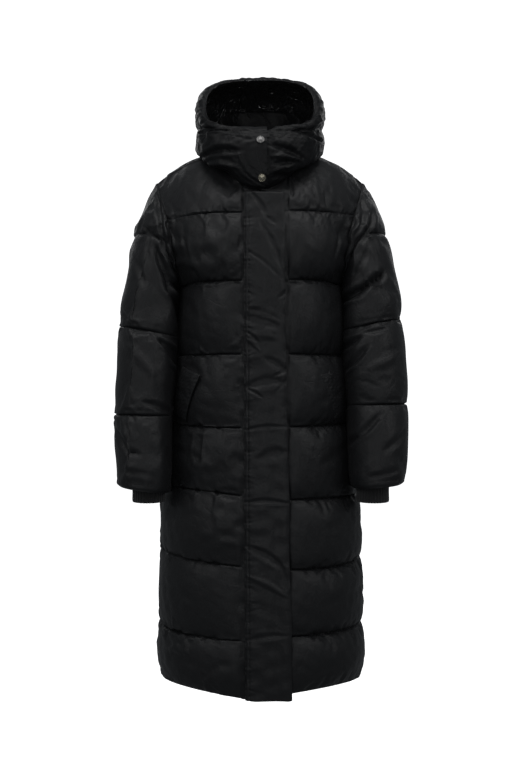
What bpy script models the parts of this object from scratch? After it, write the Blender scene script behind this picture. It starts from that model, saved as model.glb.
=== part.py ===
"""Long hooded puffer coat as worn: hollow, filled, closed at the front, arms hanging.

Metres, +Z up, the front faces -Y. The origin lies between the shoulders, at the height of
the high points of the shoulder seams. The wearer's right is -X.
"""

import math

import bmesh
import bpy
import numpy as np

# ---------------------------------------------------------------- driving sizes
SEAM_GAP = 0.0003        # free space between two sewn pieces
INNER_WALL = 0.0030      # plain inner side, below the sewing level
SEWN_RISE = 0.0015       # outer side above the sewing level where a line is sewn
ROUNDNESS = 0.97         # power of sine and cosine in the body's sections (1 = ellipse)
SIDE_Y = 0.012           # the side seams lie this far behind the middle

BODY_CROWN = 0.0175      # how far a body channel swells in front and behind
BODY_SIDE_CROWN = 0.0065  # the same at the side seams
UNDER_ARM_CROWN = 0.0015  # the same where the sleeve leans on the body
YOKE_CROWN = 0.0120      # swelling over the shoulders

ZIP_HALF = 0.0030        # half of the space between the two fronts' edges
RIGHT_PLAIN = 0.0345     # the right front is flat from its edge to the flap's seam
LEFT_PLAIN = 0.056       # the left front is flat under the flap to here

# Quilting lines from the hem up: for each front its height at the edge and at the side,
# and how far it arches up between them.
LINE_COLUMNS = ("name", "right_edge", "right_side", "right_arch",
                "left_edge", "left_side", "left_arch")
LINES = (
    ("hem", -1.1400, -1.1360, 0.0100, -1.1320, -1.1410, 0.0090),
    ("line_7", -1.0220, -1.0100, 0.0000, -1.0140, -1.0140, 0.0000),
    ("line_6", -0.8730, -0.8560, 0.0040, -0.8790, -0.8700, -0.0040),
    ("line_5", -0.7300, -0.7200, 0.0070, -0.7380, -0.7380, 0.0000),
    ("line_4", -0.5920, -0.5850, 0.0000, -0.5900, -0.5840, 0.0000),
    ("line_3", -0.4415, -0.4440, 0.0000, -0.4415, -0.4425, 0.0000),
    ("line_2", -0.2920, -0.2960, 0.0020, -0.2900, -0.2960, 0.0040),
    ("line_1", -0.1520, -0.1580, 0.0020, -0.1470, -0.1480, 0.0000),
)
TOP_ROW = len(LINES)     # row number of the neckline and shoulder seams
ARMPIT_ROW = 6           # the armholes start on this line

# Body sections at the sewing level.
BODY_COLUMNS = ("z", "half_width", "front_depth", "back_depth")
BODY = (
    (-1.1500, 0.2100, 0.1600, 0.1580),
    (-1.0600, 0.2155, 0.1620, 0.1600),
    (-0.9400, 0.2135, 0.1600, 0.1570),
    (-0.8400, 0.2110, 0.1570, 0.1530),
    (-0.7620, 0.2050, 0.1550, 0.1480),
    (-0.7000, 0.1945, 0.1530, 0.1430),
    (-0.6000, 0.1815, 0.1500, 0.1350),
    (-0.4500, 0.1730, 0.1470, 0.1280),
    (-0.2960, 0.1700, 0.1480, 0.1340),
    (-0.2050, 0.1840, 0.1450, 0.1400),
    (-0.1460, 0.1960, 0.1370, 0.1380),
    (-0.1050, 0.2050, 0.1340, 0.1340),
)

# Armholes, from the armpit up: height, then x and y of the front and of the back curve.
ARMHOLE_COLUMNS = ("z", "front_x", "front_y", "back_x", "back_y")
ARMHOLE = (
    (-0.2960, 0.1700, 0.0120, 0.1700, 0.0120),
    (-0.2915, 0.1715, -0.0200, 0.1720, 0.0430),
    (-0.2760, 0.1745, -0.0500, 0.1760, 0.0650),
    (-0.2480, 0.1785, -0.0745, 0.1815, 0.0850),
    (-0.2100, 0.1830, -0.0860, 0.1880, 0.0970),
    (-0.1800, 0.1880, -0.0840, 0.1930, 0.0970),
    (-0.1530, 0.1945, -0.0740, 0.1990, 0.0900),
    (-0.1180, 0.2065, -0.0460, 0.2095, 0.0700),
    (-0.0870, 0.2160, -0.0160, 0.2175, 0.0430),
    (-0.0650, 0.2210, 0.0120, 0.2210, 0.0120),
)

# Neckline: x = half width * sin, y = centre - depth * cos, z from the cosine's powers.
NECK_HALF_WIDTH = 0.085
NECK_CENTRE_Y = -0.020
NECK_DEPTH = 0.105
NECK_Z = (-0.010, -0.060, -0.035)
SHOULDER_TIP = (0.221, 0.012, -0.065)
YOKE_BULGE = (0.25, 0.65)  # roundness of the yoke at the middle and at the armhole
SHOULDER_BOW = 0.013     # the shoulder seam rises this much over a straight line

# Sleeve rings at the sewing level: outer and inner edge (x, z), centre y, half depth.
RING_COLUMNS = ("name", "outer_x", "outer_z", "inner_x", "inner_z", "centre_y", "half_depth")
SLEEVE_RIGHT = (
    ("below_armpit", 0.2830, -0.2850, 0.1790, -0.3220, -0.0100, 0.0830),
    ("line_b", 0.2950, -0.3800, 0.1780, -0.4040, -0.0280, 0.0800),
    ("elbow", 0.2985, -0.4720, 0.1820, -0.4850, -0.0420, 0.0780),
    ("line_c", 0.3020, -0.5660, 0.1890, -0.5690, -0.0580, 0.0760),
    ("end", 0.2920, -0.7120, 0.1880, -0.7260, -0.0880, 0.0700),
)
SLEEVE_LEFT = (
    ("below_armpit", 0.2810, -0.2800, 0.1790, -0.3220, -0.0100, 0.0830),
    ("line_b", 0.2940, -0.3650, 0.1785, -0.3900, -0.0260, 0.0800),
    ("elbow", 0.2985, -0.4540, 0.1830, -0.4680, -0.0400, 0.0780),
    ("line_c", 0.3030, -0.5440, 0.1890, -0.5470, -0.0550, 0.0760),
    ("end", 0.2930, -0.7080, 0.1930, -0.7160, -0.0880, 0.0700),
)
SLEEVE_OUTER_CROWN = 0.0065
SLEEVE_FRONT_CROWN = 0.0130
SLEEVE_INNER_CROWN = 0.0010
SLEEVE_END_WALL = 0.0012  # inner side at the turned-in end
# First quilting line of a sleeve, as a share of the way from the armhole to the first
# ring, every 45 degrees from the shoulder tip round to the armpit.
CAP_LINE = (0.56, 0.42, 0.22, 0.13, 0.30)

CUFF_CENTRE_IN = 0.008   # the cuff lies this much nearer the body than the sleeve's end
CUFF_HALF_WIDTH = 0.0335
CUFF_HALF_DEPTH = 0.0440
CUFF_TOP_Z = -0.704
CUFF_END_Z = -0.747
CUFF_WALL = 0.0022
CUFF_RIB = 0.0012
CUFF_RIBS = 32
CUFF_SEAT = 0.0034       # the sleeve's turned-in end stands this far round the cuff

# Hood loops from the neck seam to the rim: front and back (y, z), half width, lift at
# the sides and how square the loop is.
HOOD_COLUMNS = ("v", "front_y", "front_z", "back_y", "back_z", "half_width", "side_lift")
HOOD = (
    (0.00, -0.1250, -0.1050, 0.0850, 0.0150, 0.0850, 0.0350),
    (0.10, -0.1360, -0.0880, 0.1080, 0.0280, 0.1070, 0.0350),
    (0.24, -0.1440, -0.0660, 0.1500, 0.0360, 0.1280, 0.0190),
    (0.45, -0.1470, -0.0260, 0.1900, 0.0780, 0.1310, 0.0150),
    (0.70, -0.1400, 0.0000, 0.1500, 0.1480, 0.1310, 0.0050),
    (0.88, -0.1330, 0.0120, 0.0700, 0.1700, 0.1290, 0.0000),
    (1.00, -0.1220, 0.0180, -0.0100, 0.1560, 0.1160, 0.0000),
)
HOOD_SQUARE = 0.72       # power of sine and cosine in the hood's loops
HOOD_WALL = 0.0030
HOOD_CROWN = 0.0070
HOOD_CENTRE_HALF = 0.046  # half the width of the centre strip
HOOD_LAP_RIGHT = 0.014   # the right side's front edge, on the wearer's left
HOOD_LAP_LEFT = -0.026   # the left side's front edge, below the right side
HOOD_CLEAR = 0.0030       # the hood lies at least this high above the yokes
HOOD_LAID_ROWS = 5       # rows of the hood that may lie on the yokes
HOOD_LAP_LIFT = 0.0068   # the right side lies this much further out on the lap
# The hood's quilting line as v, every 45 degrees from the front to the back.
HOOD_LINE = (0.90, 0.80, 0.50, 0.36, 0.32)

COLLAR_WALL = 0.0080
COLLAR_COLUMNS = ("share", "front_y", "front_z", "back_y", "back_z", "half_width", "side_lift")
COLLAR = (
    (0.00, -0.1210, -0.1040, 0.0810, 0.0155, 0.0810, 0.0350),
    (0.35, -0.1190, -0.0600, 0.0770, 0.0450, 0.0830, 0.0180),
    (0.70, -0.1120, -0.0150, 0.0740, 0.0800, 0.0860, 0.0080),
    (1.00, -0.1020, 0.0200, 0.0700, 0.1060, 0.0870, 0.0020),
)

# Storm flap: distance below the neckline's front point, x of its seam and free edge.
FLAP_COLUMNS = ("z", "seam_x", "free_x")
FLAP = (
    (-0.1120, -0.0325, 0.0500),
    (-0.2900, -0.0325, 0.0510),
    (-0.5900, -0.0320, 0.0550),
    (-0.7300, -0.0320, 0.0590),
    (-0.9000, -0.0310, 0.0610),
    (-1.1410, -0.0300, 0.0660),
)
FLAP_WALL = 0.0050
FLAP_CROWN = 0.0035

# Pocket welts in (z, angle from the front) on the fronts: inner and outer edge.
WELT_COLUMNS = ("end", "inner_z", "inner_deg", "outer_z", "outer_deg")
WELT = (
    ("top", -0.4850, 38.0, -0.4660, 58.0),
    ("bottom", -0.5800, 52.0, -0.5640, 70.0),
)
WELT_WALL = 0.0035
WELT_CLEAR = 0.0010      # free space under a welt

SNAP_COLUMNS = ("name", "x", "z", "sink")
SNAPS = (
    ("snap_upper", 0.0010, -0.0100, 0.0000),
    ("snap_lower", 0.0040, -0.0800, 0.0006),
)
SNAP_RADIUS = 0.0080
SNAP_PROFILE = (          # radius share, height above the cloth
    (1.00, 0.0000),
    (1.00, 0.0014),
    (0.86, 0.0024),
    (0.45, 0.0026),
    (0.30, 0.0034),
)
SNAP_SIDES = 20

# Material: colour, roughness, metallic.
SHELL = ("shell_cloth", (0.016, 0.017, 0.019, 1.0), 0.52, 0.0)
RIB = ("rib_knit", (0.012, 0.012, 0.013, 1.0), 0.85, 0.0)
ZIP = ("zip_tape", (0.014, 0.014, 0.015, 1.0), 0.70, 0.0)
METAL = ("snap_metal", (0.62, 0.60, 0.55, 1.0), 0.30, 1.0)


# ---------------------------------------------------------------- numbers and curves
def spline(xs, ys, x):
    """Smooth curve through the rows of ys at xs, with no overshoot between them."""
    xs = np.asarray(xs, float)
    ys = np.asarray(ys, float)
    x = np.clip(np.asarray(x, float), min(xs[0], xs[-1]), max(xs[0], xs[-1]))
    if xs[0] > xs[-1]:
        xs = xs[::-1]
        ys = ys[::-1]
    step = np.diff(xs)
    shape = (-1,) + (1,) * (ys.ndim - 1)
    slope = np.diff(ys, axis=0) / step.reshape(shape)
    tangent = np.zeros_like(ys)
    both = slope[:-1] * slope[1:] > 0
    safe = np.where(both, slope[:-1] + slope[1:], 1.0)
    tangent[1:-1] = np.where(both, 2.0 * slope[:-1] * slope[1:] / safe, 0.0)
    tangent[0] = slope[0]
    tangent[-1] = slope[-1]
    k = np.clip(np.searchsorted(xs, x, side="right") - 1, 0, len(xs) - 2)
    h = step[k]
    t = (x - xs[k]) / h
    if ys.ndim > 1:
        h = h[..., None]
        t = t[..., None]
    low = ys[k] * (1 + 2 * t) * (1 - t) ** 2 + tangent[k] * h * t * (1 - t) ** 2
    high = ys[k + 1] * t * t * (3 - 2 * t) - tangent[k + 1] * h * t * t * (1 - t)
    return low + high


def column(table, number):
    """One column of a table of sizes."""
    return [row[number] for row in table]


def unit(vectors):
    """The vectors at length one."""
    length = np.linalg.norm(vectors, axis=-1, keepdims=True)
    return vectors / np.maximum(length, 1e-12)


def power(value, exponent):
    """A power that keeps the sign."""
    return np.sign(value) * np.abs(value) ** exponent


def smooth(value):
    """Soft step from 0 to 1."""
    t = np.clip(value, 0.0, 1.0)
    return t * t * (3 - 2 * t)


def grid_normals(surface, rows, cols, flip):
    """Outward directions of surface(row, col), from its two slopes."""
    tiny = 1e-3
    along = surface(rows + tiny, cols) - surface(rows - tiny, cols)
    across = surface(rows, cols + tiny) - surface(rows, cols - tiny)
    return unit(np.cross(across, along)) * flip


# ---------------------------------------------------------------- body
def body_sizes(z):
    """Half width, front depth and back depth at height z."""
    zs = column(BODY, 0)
    return tuple(spline(zs, column(BODY, k), z) for k in (1, 2, 3))


def armhole_point(z, back):
    """Point of the armhole at height z on the wearer's left, x and y."""
    zs = column(ARMHOLE, 0)
    first = 3 if back else 1
    return spline(zs, column(ARMHOLE, first), z), spline(zs, column(ARMHOLE, first + 1), z)


def section_point(z, angle_share, back, fixed_x=None):
    """Point on the body at height z: share 0 at the middle, 1 at the side or armhole."""
    half, front, rear = body_sizes(z)
    depth = rear if back else front
    end_x, end_y = armhole_point(np.maximum(z, ARMHOLE[0][0]), back)
    above = z > ARMHOLE[0][0]
    end_x = np.where(above, end_x, half)
    end_y = np.where(above, end_y, SIDE_Y)
    way = 1.0 if back else -1.0
    reach = depth - way * SIDE_Y
    ratio = np.clip((end_y - SIDE_Y) * way / reach, 0.0, 0.98)
    last = np.arccos(ratio ** (1.0 / ROUNDNESS))
    wide = end_x / np.sin(last) ** ROUNDNESS
    angle = angle_share * last
    if fixed_x is not None:
        base = np.arcsin(np.clip(fixed_x / wide, 0.0, 1.0) ** (1.0 / ROUNDNESS))
        angle = base + (last - base) * angle_share
    x = wide * np.sin(angle) ** ROUNDNESS
    y = SIDE_Y + way * reach * np.clip(np.cos(angle), 0.0, 1.0) ** ROUNDNESS
    return np.stack([x, y, z + 0.0 * x], axis=-1)


def neck_point(angle):
    """Point of the neckline; angle 0 in front, 90 degrees at the high point."""
    c = np.cos(angle)
    x = NECK_HALF_WIDTH * np.sin(angle)
    y = NECK_CENTRE_Y - NECK_DEPTH * c
    z = NECK_Z[0] + NECK_Z[1] * c + NECK_Z[2] * c * c
    return np.stack([x, y, z], axis=-1)


def top_point(share, back, fixed_x=None):
    """Top edge of a panel: neckline for shares up to a half, then the shoulder seam."""
    start = 0.0
    if fixed_x is not None:
        start = math.asin(fixed_x / NECK_HALF_WIDTH)
    sweep = start + (math.pi / 2 - start) * np.clip(share * 2.0, 0.0, 1.0)
    neck = neck_point(math.pi - sweep if back else sweep)
    high = neck_point(np.asarray(math.pi / 2))
    along = np.clip(share * 2.0 - 1.0, 0.0, 1.0)[..., None]
    bow = np.array([0.0, 0.0, SHOULDER_BOW]) * 4.0 * along * (1.0 - along)
    return neck + along * (np.asarray(SHOULDER_TIP) - high) + bow


def line_height(row, share, side, back):
    """Height of a row; whole rows are the hem and the quilting lines."""
    first = 1 if side < 0 else 4
    rows = np.arange(len(LINES))
    flank = np.interp(row, rows, column(LINES, first + 1))
    if back:
        other = np.interp(row, rows, column(LINES, 6 - first))
        return (flank + other) / 2 + (flank - other) / 2 * share
    edge = np.interp(row, rows, column(LINES, first))
    arch = np.interp(row, rows, column(LINES, first + 2))
    return edge + (flank - edge) * share ** 1.2 + arch * 4.0 * share * (1.0 - share)


def yoke_blend(point, top, rise, share):
    """Point between line 1 and the top edge, by a curve that turns over the shoulder."""
    turn = rise * math.pi / 2
    bulge = YOKE_BULGE[0] + (YOKE_BULGE[1] - YOKE_BULGE[0]) * share
    flat = (1.0 - bulge) * rise + bulge * (1.0 - np.cos(turn))
    lift = (1.0 - bulge) * rise + bulge * np.sin(turn)
    way = np.stack([flat, flat, lift], axis=-1)
    return point + (top - point) * way


def panel_point(row, share, side, back, fixed_x=None):
    """Sewing level of a body panel on one side (-1 the wearer's right, +1 the left)."""
    row = np.asarray(row, float) + 0.0 * share
    share = np.clip(np.asarray(share, float) + 0.0 * row, 0.0, 1.0)
    low_row = np.minimum(row, TOP_ROW - 1)
    rise = np.clip(row - (TOP_ROW - 1), 0.0, 1.0)
    spots = []
    for part in (share, np.ones_like(share)):
        z = line_height(low_row, part, side, back)
        point = section_point(z, part, back, fixed_x)
        spots.append(yoke_blend(point, top_point(part, back, fixed_x), rise, part))
    moved, end = spots
    hole_x, hole_y = armhole_point(end[..., 2], back)
    near = np.where(rise > 0.0, share ** 3, 0.0)
    moved[..., 0] += (hole_x - end[..., 0]) * near
    moved[..., 1] += (hole_y - end[..., 1]) * near
    moved[..., 0] *= side
    return moved


def swell(row):
    """Height of a channel between two sewn lines, 0 on the lines and 1 at its crown."""
    part = row - np.floor(row)
    part = np.where(row >= TOP_ROW, 0.0, part)
    return (4.0 * part * (1.0 - part)) ** 0.55


def body_crown(row, share):
    """Swelling of the body by row and by share of the way to the side."""
    flank = smooth((share - 0.35) / 0.65)
    below_arm = smooth((row - 2.4) / 0.8) * (1.0 - smooth((row - 5.7) / 0.3))
    side = BODY_SIDE_CROWN + (UNDER_ARM_CROWN - BODY_SIDE_CROWN) * below_arm
    side = side * (1.0 - smooth((row - 5.6) / 0.3))
    middle = BODY_CROWN + (YOKE_CROWN - BODY_CROWN) * smooth(row - 6.3)
    below_hood = smooth((row - 7.15) / 0.45) * (1.0 - smooth((share - 0.45) / 0.35))
    middle = middle * (1.0 - 0.85 * below_hood)
    seam = 1.0 - smooth((row - 5.8) / 0.2) * smooth((share - 0.75) / 0.25)
    return (middle + (side - middle) * flank) * seam


# ---------------------------------------------------------------- mesh building
def material(finish):
    """Principled material from a name, colour, roughness and metallic."""
    name, colour, roughness, metallic = finish
    made = bpy.data.materials.get(name)
    if made is None:
        made = bpy.data.materials.new(name)
        made.use_nodes = True
        shader = made.node_tree.nodes["Principled BSDF"]
        shader.inputs["Base Color"].default_value = colour
        shader.inputs["Roughness"].default_value = roughness
        shader.inputs["Metallic"].default_value = metallic
    return made


def solid(name, points, faces, finish):
    """One closed object, its faces turned outward."""
    mesh = bpy.data.meshes.new(name)
    mesh.from_pydata([tuple(p) for p in points], [], faces)
    made = bmesh.new()
    made.from_mesh(mesh)
    bmesh.ops.triangulate(made, faces=made.faces[:])
    bmesh.ops.recalc_face_normals(made, faces=made.faces[:])
    made.to_mesh(mesh)
    made.free()
    mesh.materials.append(material(finish))
    thing = bpy.data.objects.new(name, mesh)
    bpy.context.scene.collection.objects.link(thing)
    mesh.shade_smooth()
    mesh.set_sharp_from_angle(angle=math.radians(50))
    return thing


def wall(name, outer, inner, finish, ring=False):
    """Closed wall between two equal grids of points; ring joins the last column to the first."""
    rows, cols = outer.shape[:2]
    points = np.concatenate([outer.reshape(-1, 3), inner.reshape(-1, 3)])
    base = rows * cols

    def at(layer, r, c):
        return layer * base + r * cols + (c % cols)

    spans = cols if ring else cols - 1
    faces = []
    for r in range(rows - 1):
        for c in range(spans):
            faces.append((at(0, r, c), at(0, r, c + 1), at(0, r + 1, c + 1), at(0, r + 1, c)))
            faces.append((at(1, r, c), at(1, r + 1, c), at(1, r + 1, c + 1), at(1, r, c + 1)))
    for c in range(spans):
        for r in (0, rows - 1):
            faces.append((at(0, r, c), at(1, r, c), at(1, r, c + 1), at(0, r, c + 1)))
    if not ring:
        for r in range(rows - 1):
            for c in (0, cols - 1):
                faces.append((at(0, r, c), at(0, r + 1, c), at(1, r + 1, c), at(1, r, c)))
    return solid(name, points, faces, finish)


def pulled(points, edges):
    """Edge rows or columns moved into the piece by half a seam gap."""
    moved = points.copy()
    half = SEAM_GAP / 2
    if "bottom" in edges:
        moved[0] += unit(points[1] - points[0]) * half
    if "top" in edges:
        moved[-1] += unit(points[-2] - points[-1]) * half
    if "first" in edges:
        moved[:, 0] += unit(points[:, 1] - points[:, 0]) * half
    if "last" in edges:
        moved[:, -1] += unit(points[:, -2] - points[:, -1]) * half
    return moved


# ---------------------------------------------------------------- body panels
CHANNEL_STEPS = (0.0, 0.14, 0.42, 0.76)
ARMHOLE_STEPS = (0.0, 0.035, 0.15, 0.36, 0.62, 0.82)
YOKE_STEPS = (0.0, 0.35, 0.7)
EDGE_XS = (ZIP_HALF, 0.022)
FRONT_SHARES = np.array([0.0, 0.1, 0.2, 0.3, 0.4, 0.5, 0.6, 0.7, 0.8, 0.9, 1.0])


def body_rows():
    """Row numbers from the hem to the top edge."""
    rows = [k + s for k in range(ARMPIT_ROW) for s in CHANNEL_STEPS]
    rows += [ARMPIT_ROW + s for s in ARMHOLE_STEPS]
    rows += [ARMPIT_ROW + 1 + s for s in YOKE_STEPS]
    return np.array(rows + [TOP_ROW])


def front_grid(side):
    """Sewing level, directions and swelling of a front, from its edge to the side."""
    plain = RIGHT_PLAIN if side < 0 else LEFT_PLAIN
    rows = body_rows()[:, None]
    shares = FRONT_SHARES[None, :]

    def surface(r, s, first_x=plain):
        return panel_point(r, s, side, False, first_x)

    parts = []
    for x in EDGE_XS:
        parts.append(surface(rows, 0.0 * rows, x))
    parts.append(surface(rows, shares))
    points = np.concatenate(parts, axis=1)
    normals = grid_normals(surface, rows, np.clip(shares, 0.002, 0.998), side)
    ahead = unit(normals[:, :1] * np.array([0.4, 1.0, 1.0]))
    normals = np.concatenate([ahead] * len(EDGE_XS) + [normals], axis=1)
    start = 0.12 if side < 0 else 0.25
    rise = swell(rows) * body_crown(rows, shares) * smooth(shares / start)
    rise = np.concatenate([0.0 * rise[:, :1]] * len(EDGE_XS) + [rise], axis=1)
    return points, normals, rise


BACK_SHARES = np.array([0.0, 0.182, 0.34, 0.5, 0.62, 0.75, 0.88, 1.0])


def back_grid():
    """Sewing level, directions and swelling of the back, from the right to the left."""
    rows = body_rows()[:, None]
    halves = []
    for side in (-1, 1):
        shares = BACK_SHARES[None, :]

        def surface(r, s, side=side):
            return panel_point(r, s, side, True)

        points = surface(rows, shares)
        normals = grid_normals(surface, rows, np.clip(shares, 0.002, 0.998), -side)
        rise = swell(rows) * body_crown(rows, shares)
        halves.append((points, normals, rise))
    right, left = halves
    middle = unit(right[1][:, :1] + left[1][:, :1])
    points = np.concatenate([right[0][:, :0:-1], left[0]], axis=1)
    normals = np.concatenate([right[1][:, :0:-1], middle, left[1][:, 1:]], axis=1)
    rise = np.concatenate([right[2][:, :0:-1], left[2]], axis=1)
    return points, normals, rise


# ---------------------------------------------------------------- sleeves
def sleeve_rings(table, side):
    """Control rings of a sleeve: the armhole, then one ellipse for each row of the table."""
    hole_rows = [ARMPIT_ROW + s for s in ARMHOLE_STEPS]
    hole_rows += [ARMPIT_ROW + 1 + s for s in YOKE_STEPS] + [TOP_ROW]
    hole_rows = np.array(hole_rows)
    one = np.ones_like(hole_rows)
    front = panel_point(hole_rows, one, side, False, RIGHT_PLAIN)
    back = panel_point(hole_rows, one, side, True)
    hole = np.concatenate([front[::-1], back[1:-1]])
    lengths = np.linalg.norm(np.diff(np.concatenate([hole, hole[:1]]), axis=0), axis=1)
    ahead = np.cumsum(lengths)
    half = len(front) - 1
    turn = np.zeros(len(hole))
    turn[1:half + 1] = math.pi * ahead[:half] / ahead[half - 1]
    behind = ahead[half:-1] - ahead[half - 1]
    turn[half + 1:] = math.pi + math.pi * behind / (ahead[-1] - ahead[half - 1])
    rings = [hole]
    for name, ox, oz, ix, iz, cy, depth in table:
        centre = np.array([(ox + ix) / 2 * side, cy, (oz + iz) / 2])
        across = np.array([(ox - ix) / 2 * side, 0.0, (oz - iz) / 2])
        lean = np.array([0.0, -1.0, 0.0])
        ring = (
            centre
            + across * power(np.cos(turn), 0.9)[:, None]
            + lean * depth * power(np.sin(turn), 0.9)[:, None]
        )
        rings.append(ring)
    return np.array(rings), turn


def sleeve_point(rings, place):
    """Points of a sleeve at a place along it, 0 at the armhole and one more each ring."""
    count = len(rings)
    k = np.clip(np.floor(place).astype(int), 0, count - 2)
    t = (place - k)[..., None]
    index = np.arange(rings.shape[1])
    index = np.broadcast_to(index, k.shape)
    p0 = rings[k, index]
    p1 = rings[k + 1, index]
    before = rings[np.maximum(k - 1, 0), index]
    after = rings[np.minimum(k + 2, count - 1), index]
    start = (p1 - p0) * np.array([1.75, 1.2, 0.65])
    under = np.array([0.034 * np.sign(rings[1, 0, 0]), 0.0, -0.010])
    low = smooth((-0.235 - p0[..., 2:3]) / 0.06)
    start = start + (under - start) * low
    m0 = np.where(k[..., None] > 0, (p1 - before) / 2, start)
    m1 = np.where(k[..., None] < count - 2, (after - p0) / 2, p1 - p0)
    return (
        p0 * (1 + 2 * t) * (1 - t) ** 2
        + m0 * t * (1 - t) ** 2
        + p1 * t * t * (3 - 2 * t)
        - m1 * t * t * (1 - t)
    )


def sleeve_places(turn):
    """Places of all rows of a sleeve, row by row, and how full each one is."""
    quarter = np.abs((np.degrees(turn) + 180.0) % 360.0 - 180.0)
    cap = np.interp(quarter, (0, 45, 90, 135, 180), CAP_LINE)
    rows = []
    full = []
    for share in (0.0, 0.3, 0.65):
        rows.append(cap * share)
        full.append(0.8 * (4 * share * (1 - share)) ** 0.55)
    for start, end, steps in ((None, 2.0, 6), (2.0, 4.0, 5), (4.0, 5.0, 4)):
        for step in range(steps):
            share = step / steps
            low = cap if start is None else start + 0.0 * cap
            rows.append(low + (end - low) * share)
            full.append((4 * share * (1 - share)) ** 0.55)
    rows.append(5.0 + 0.0 * cap)
    full.append(0.0)
    return np.array(rows), np.array(full)


def cuff_ring(side, table, turn, half_width, half_depth, z):
    """Ring of the cuff's shape at height z, tilted like the sleeve's end."""
    name, ox, oz, ix, iz, cy, depth = table[-1]
    centre_x = ((ox + ix) / 2 - CUFF_CENTRE_IN) * side
    x = centre_x + side * half_width * np.cos(turn)
    y = cy - half_depth * np.sin(turn)
    return np.stack([x, y, z + 0.0 * x], axis=-1)


def sleeve_grid(table, side):
    """Sewing level, directions and swelling of a sleeve with its turned-in end."""
    rings, turn = sleeve_rings(table, side)
    places, full = sleeve_places(turn)
    points = sleeve_point(rings, places)
    inward = cuff_ring(side, table, turn, CUFF_HALF_WIDTH + CUFF_SEAT,
                       CUFF_HALF_DEPTH + CUFF_SEAT, 0.0)
    inward[:, 2] = points[-1][:, 2] + 0.005
    points = np.concatenate([points, inward[None]])
    ahead = np.roll(points, -1, axis=1) - np.roll(points, 1, axis=1)
    down = np.gradient(points, axis=0)
    normals = unit(np.cross(down, ahead)) * -side
    crown = np.where(
        np.cos(turn) > 0,
        SLEEVE_FRONT_CROWN + (SLEEVE_OUTER_CROWN - SLEEVE_FRONT_CROWN) * np.cos(turn) ** 2,
        SLEEVE_FRONT_CROWN + (SLEEVE_INNER_CROWN - SLEEVE_FRONT_CROWN) * np.cos(turn) ** 2,
    )
    rise = np.concatenate([full, [0.0]])[:, None] * crown[None, :]
    return points, normals, rise, turn


# ---------------------------------------------------------------- hood and collar
def loop_point(table, share, angle, square):
    """Point on a tilted loop; angle 0 in front, 90 degrees on the wearer's left."""
    shares = column(table, 0)
    sizes = spline(shares, np.array([row[1:] for row in table]), share)
    front_y, front_z, back_y, back_z, half, lift = np.moveaxis(sizes, -1, 0)
    blend = smooth(np.asarray(share) * 2.5)
    bend = 1.0 + (square - 1.0) * blend
    c = power(np.cos(angle), bend)
    s = power(np.sin(angle), bend)
    x = half * s
    y = (front_y + back_y) / 2 + (front_y - back_y) / 2 * c
    z = (front_z + back_z) / 2 + (front_z - back_z) / 2 * c + lift * (1 - c * c)
    return np.stack([x, y, z], axis=-1)


def hood_angle(share, x, back):
    """Angle at which the hood's loop passes a given x, in front or behind."""
    half = spline(column(HOOD, 0), column(HOOD, 5), share)
    bend = 1.0 + (HOOD_SQUARE - 1.0) * smooth(np.asarray(share) * 2.5)
    angle = np.arcsin(np.clip(np.abs(x) / half, 0, 1) ** (1.0 / bend)) * np.sign(x)
    return math.pi - angle if back else angle


HOOD_STEPS = np.array([0.0, 0.1, 0.22, 0.36, 0.5, 0.64, 0.76, 0.86, 0.94, 1.0])


def hood_rise(share, angle):
    """Swelling of the hood on both sides of its quilting line, less near the neck seam."""
    quarter = np.abs((np.degrees(angle) + 180.0) % 360.0 - 180.0)
    line = np.interp(quarter, (0, 45, 90, 135, 180), HOOD_LINE)
    part = np.where(share < line, share / line, (share - line) / (1.0 - line))
    crown = HOOD_CROWN * smooth((share - 0.04) / 0.3)
    return crown * np.clip(4 * part * (1 - part), 0.0, 1.0) ** 0.55


def neck_frame(right, left, back):
    """The panels' neckline: angles, points, outward directions and ways beyond the edge."""
    found = []
    for front, side, plain in ((right, -1, RIGHT_PLAIN), (left, 1, LEFT_PLAIN)):
        start = math.asin(plain / NECK_HALF_WIDTH)
        for col, x in enumerate(EDGE_XS):
            found.append((side * math.asin(x / NECK_HALF_WIDTH), front, col))
        for j in range(int(np.argmax(FRONT_SHARES >= 0.5)) + 1):
            angle = start + (math.pi / 2 - start) * 2 * FRONT_SHARES[j]
            found.append((side * angle, front, j + len(EDGE_XS)))
    middle = len(BACK_SHARES) - 1
    for k, share in enumerate(BACK_SHARES):
        if share < 0.5:
            for side in (-1, 1):
                found.append((side * math.pi * (1 - share), back, middle + side * k))
    found.sort(key=lambda entry: entry[0])
    angles = np.array([entry[0] for entry in found])
    points = np.array([grid[0][-1, col] for angle, grid, col in found])
    outward = np.array([grid[1][-1, col] for angle, grid, col in found])
    along = np.gradient(points, angles, axis=0)
    along[0] = along[-1] = (-1.0, 0.0, 0.0)
    beyond = unit(np.cross(outward, along))
    return angles, points, outward, beyond


def neck_edge(neck, angle):
    """Point, outward direction and way beyond on the panels' neckline at any angle."""
    angles, points, outward, beyond = neck
    turn = (np.asarray(angle) + math.pi) % (2 * math.pi) - math.pi
    parts = []
    for values in (points, outward, beyond):
        parts.append(np.stack([np.interp(turn, angles, values[:, k]) for k in range(3)], -1))
    return parts[0], unit(parts[1]), unit(parts[2])


def neck_stops(neck, first, last):
    """Angles from first to last that pass the panels' own points."""
    own = np.concatenate([neck[0], neck[0] + 2 * math.pi, neck[0] - 2 * math.pi])
    own = np.concatenate([own[np.abs(own) > 0.07], [-0.13, 0.0, 0.13]])
    low, high = min(first, last), max(first, last)
    inside = [a for a in own if low + 0.03 < a < high - 0.03]
    stops = sorted(set(np.round([low, high] + inside, 9)))
    return np.array(stops if first < last else stops[::-1])


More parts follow.
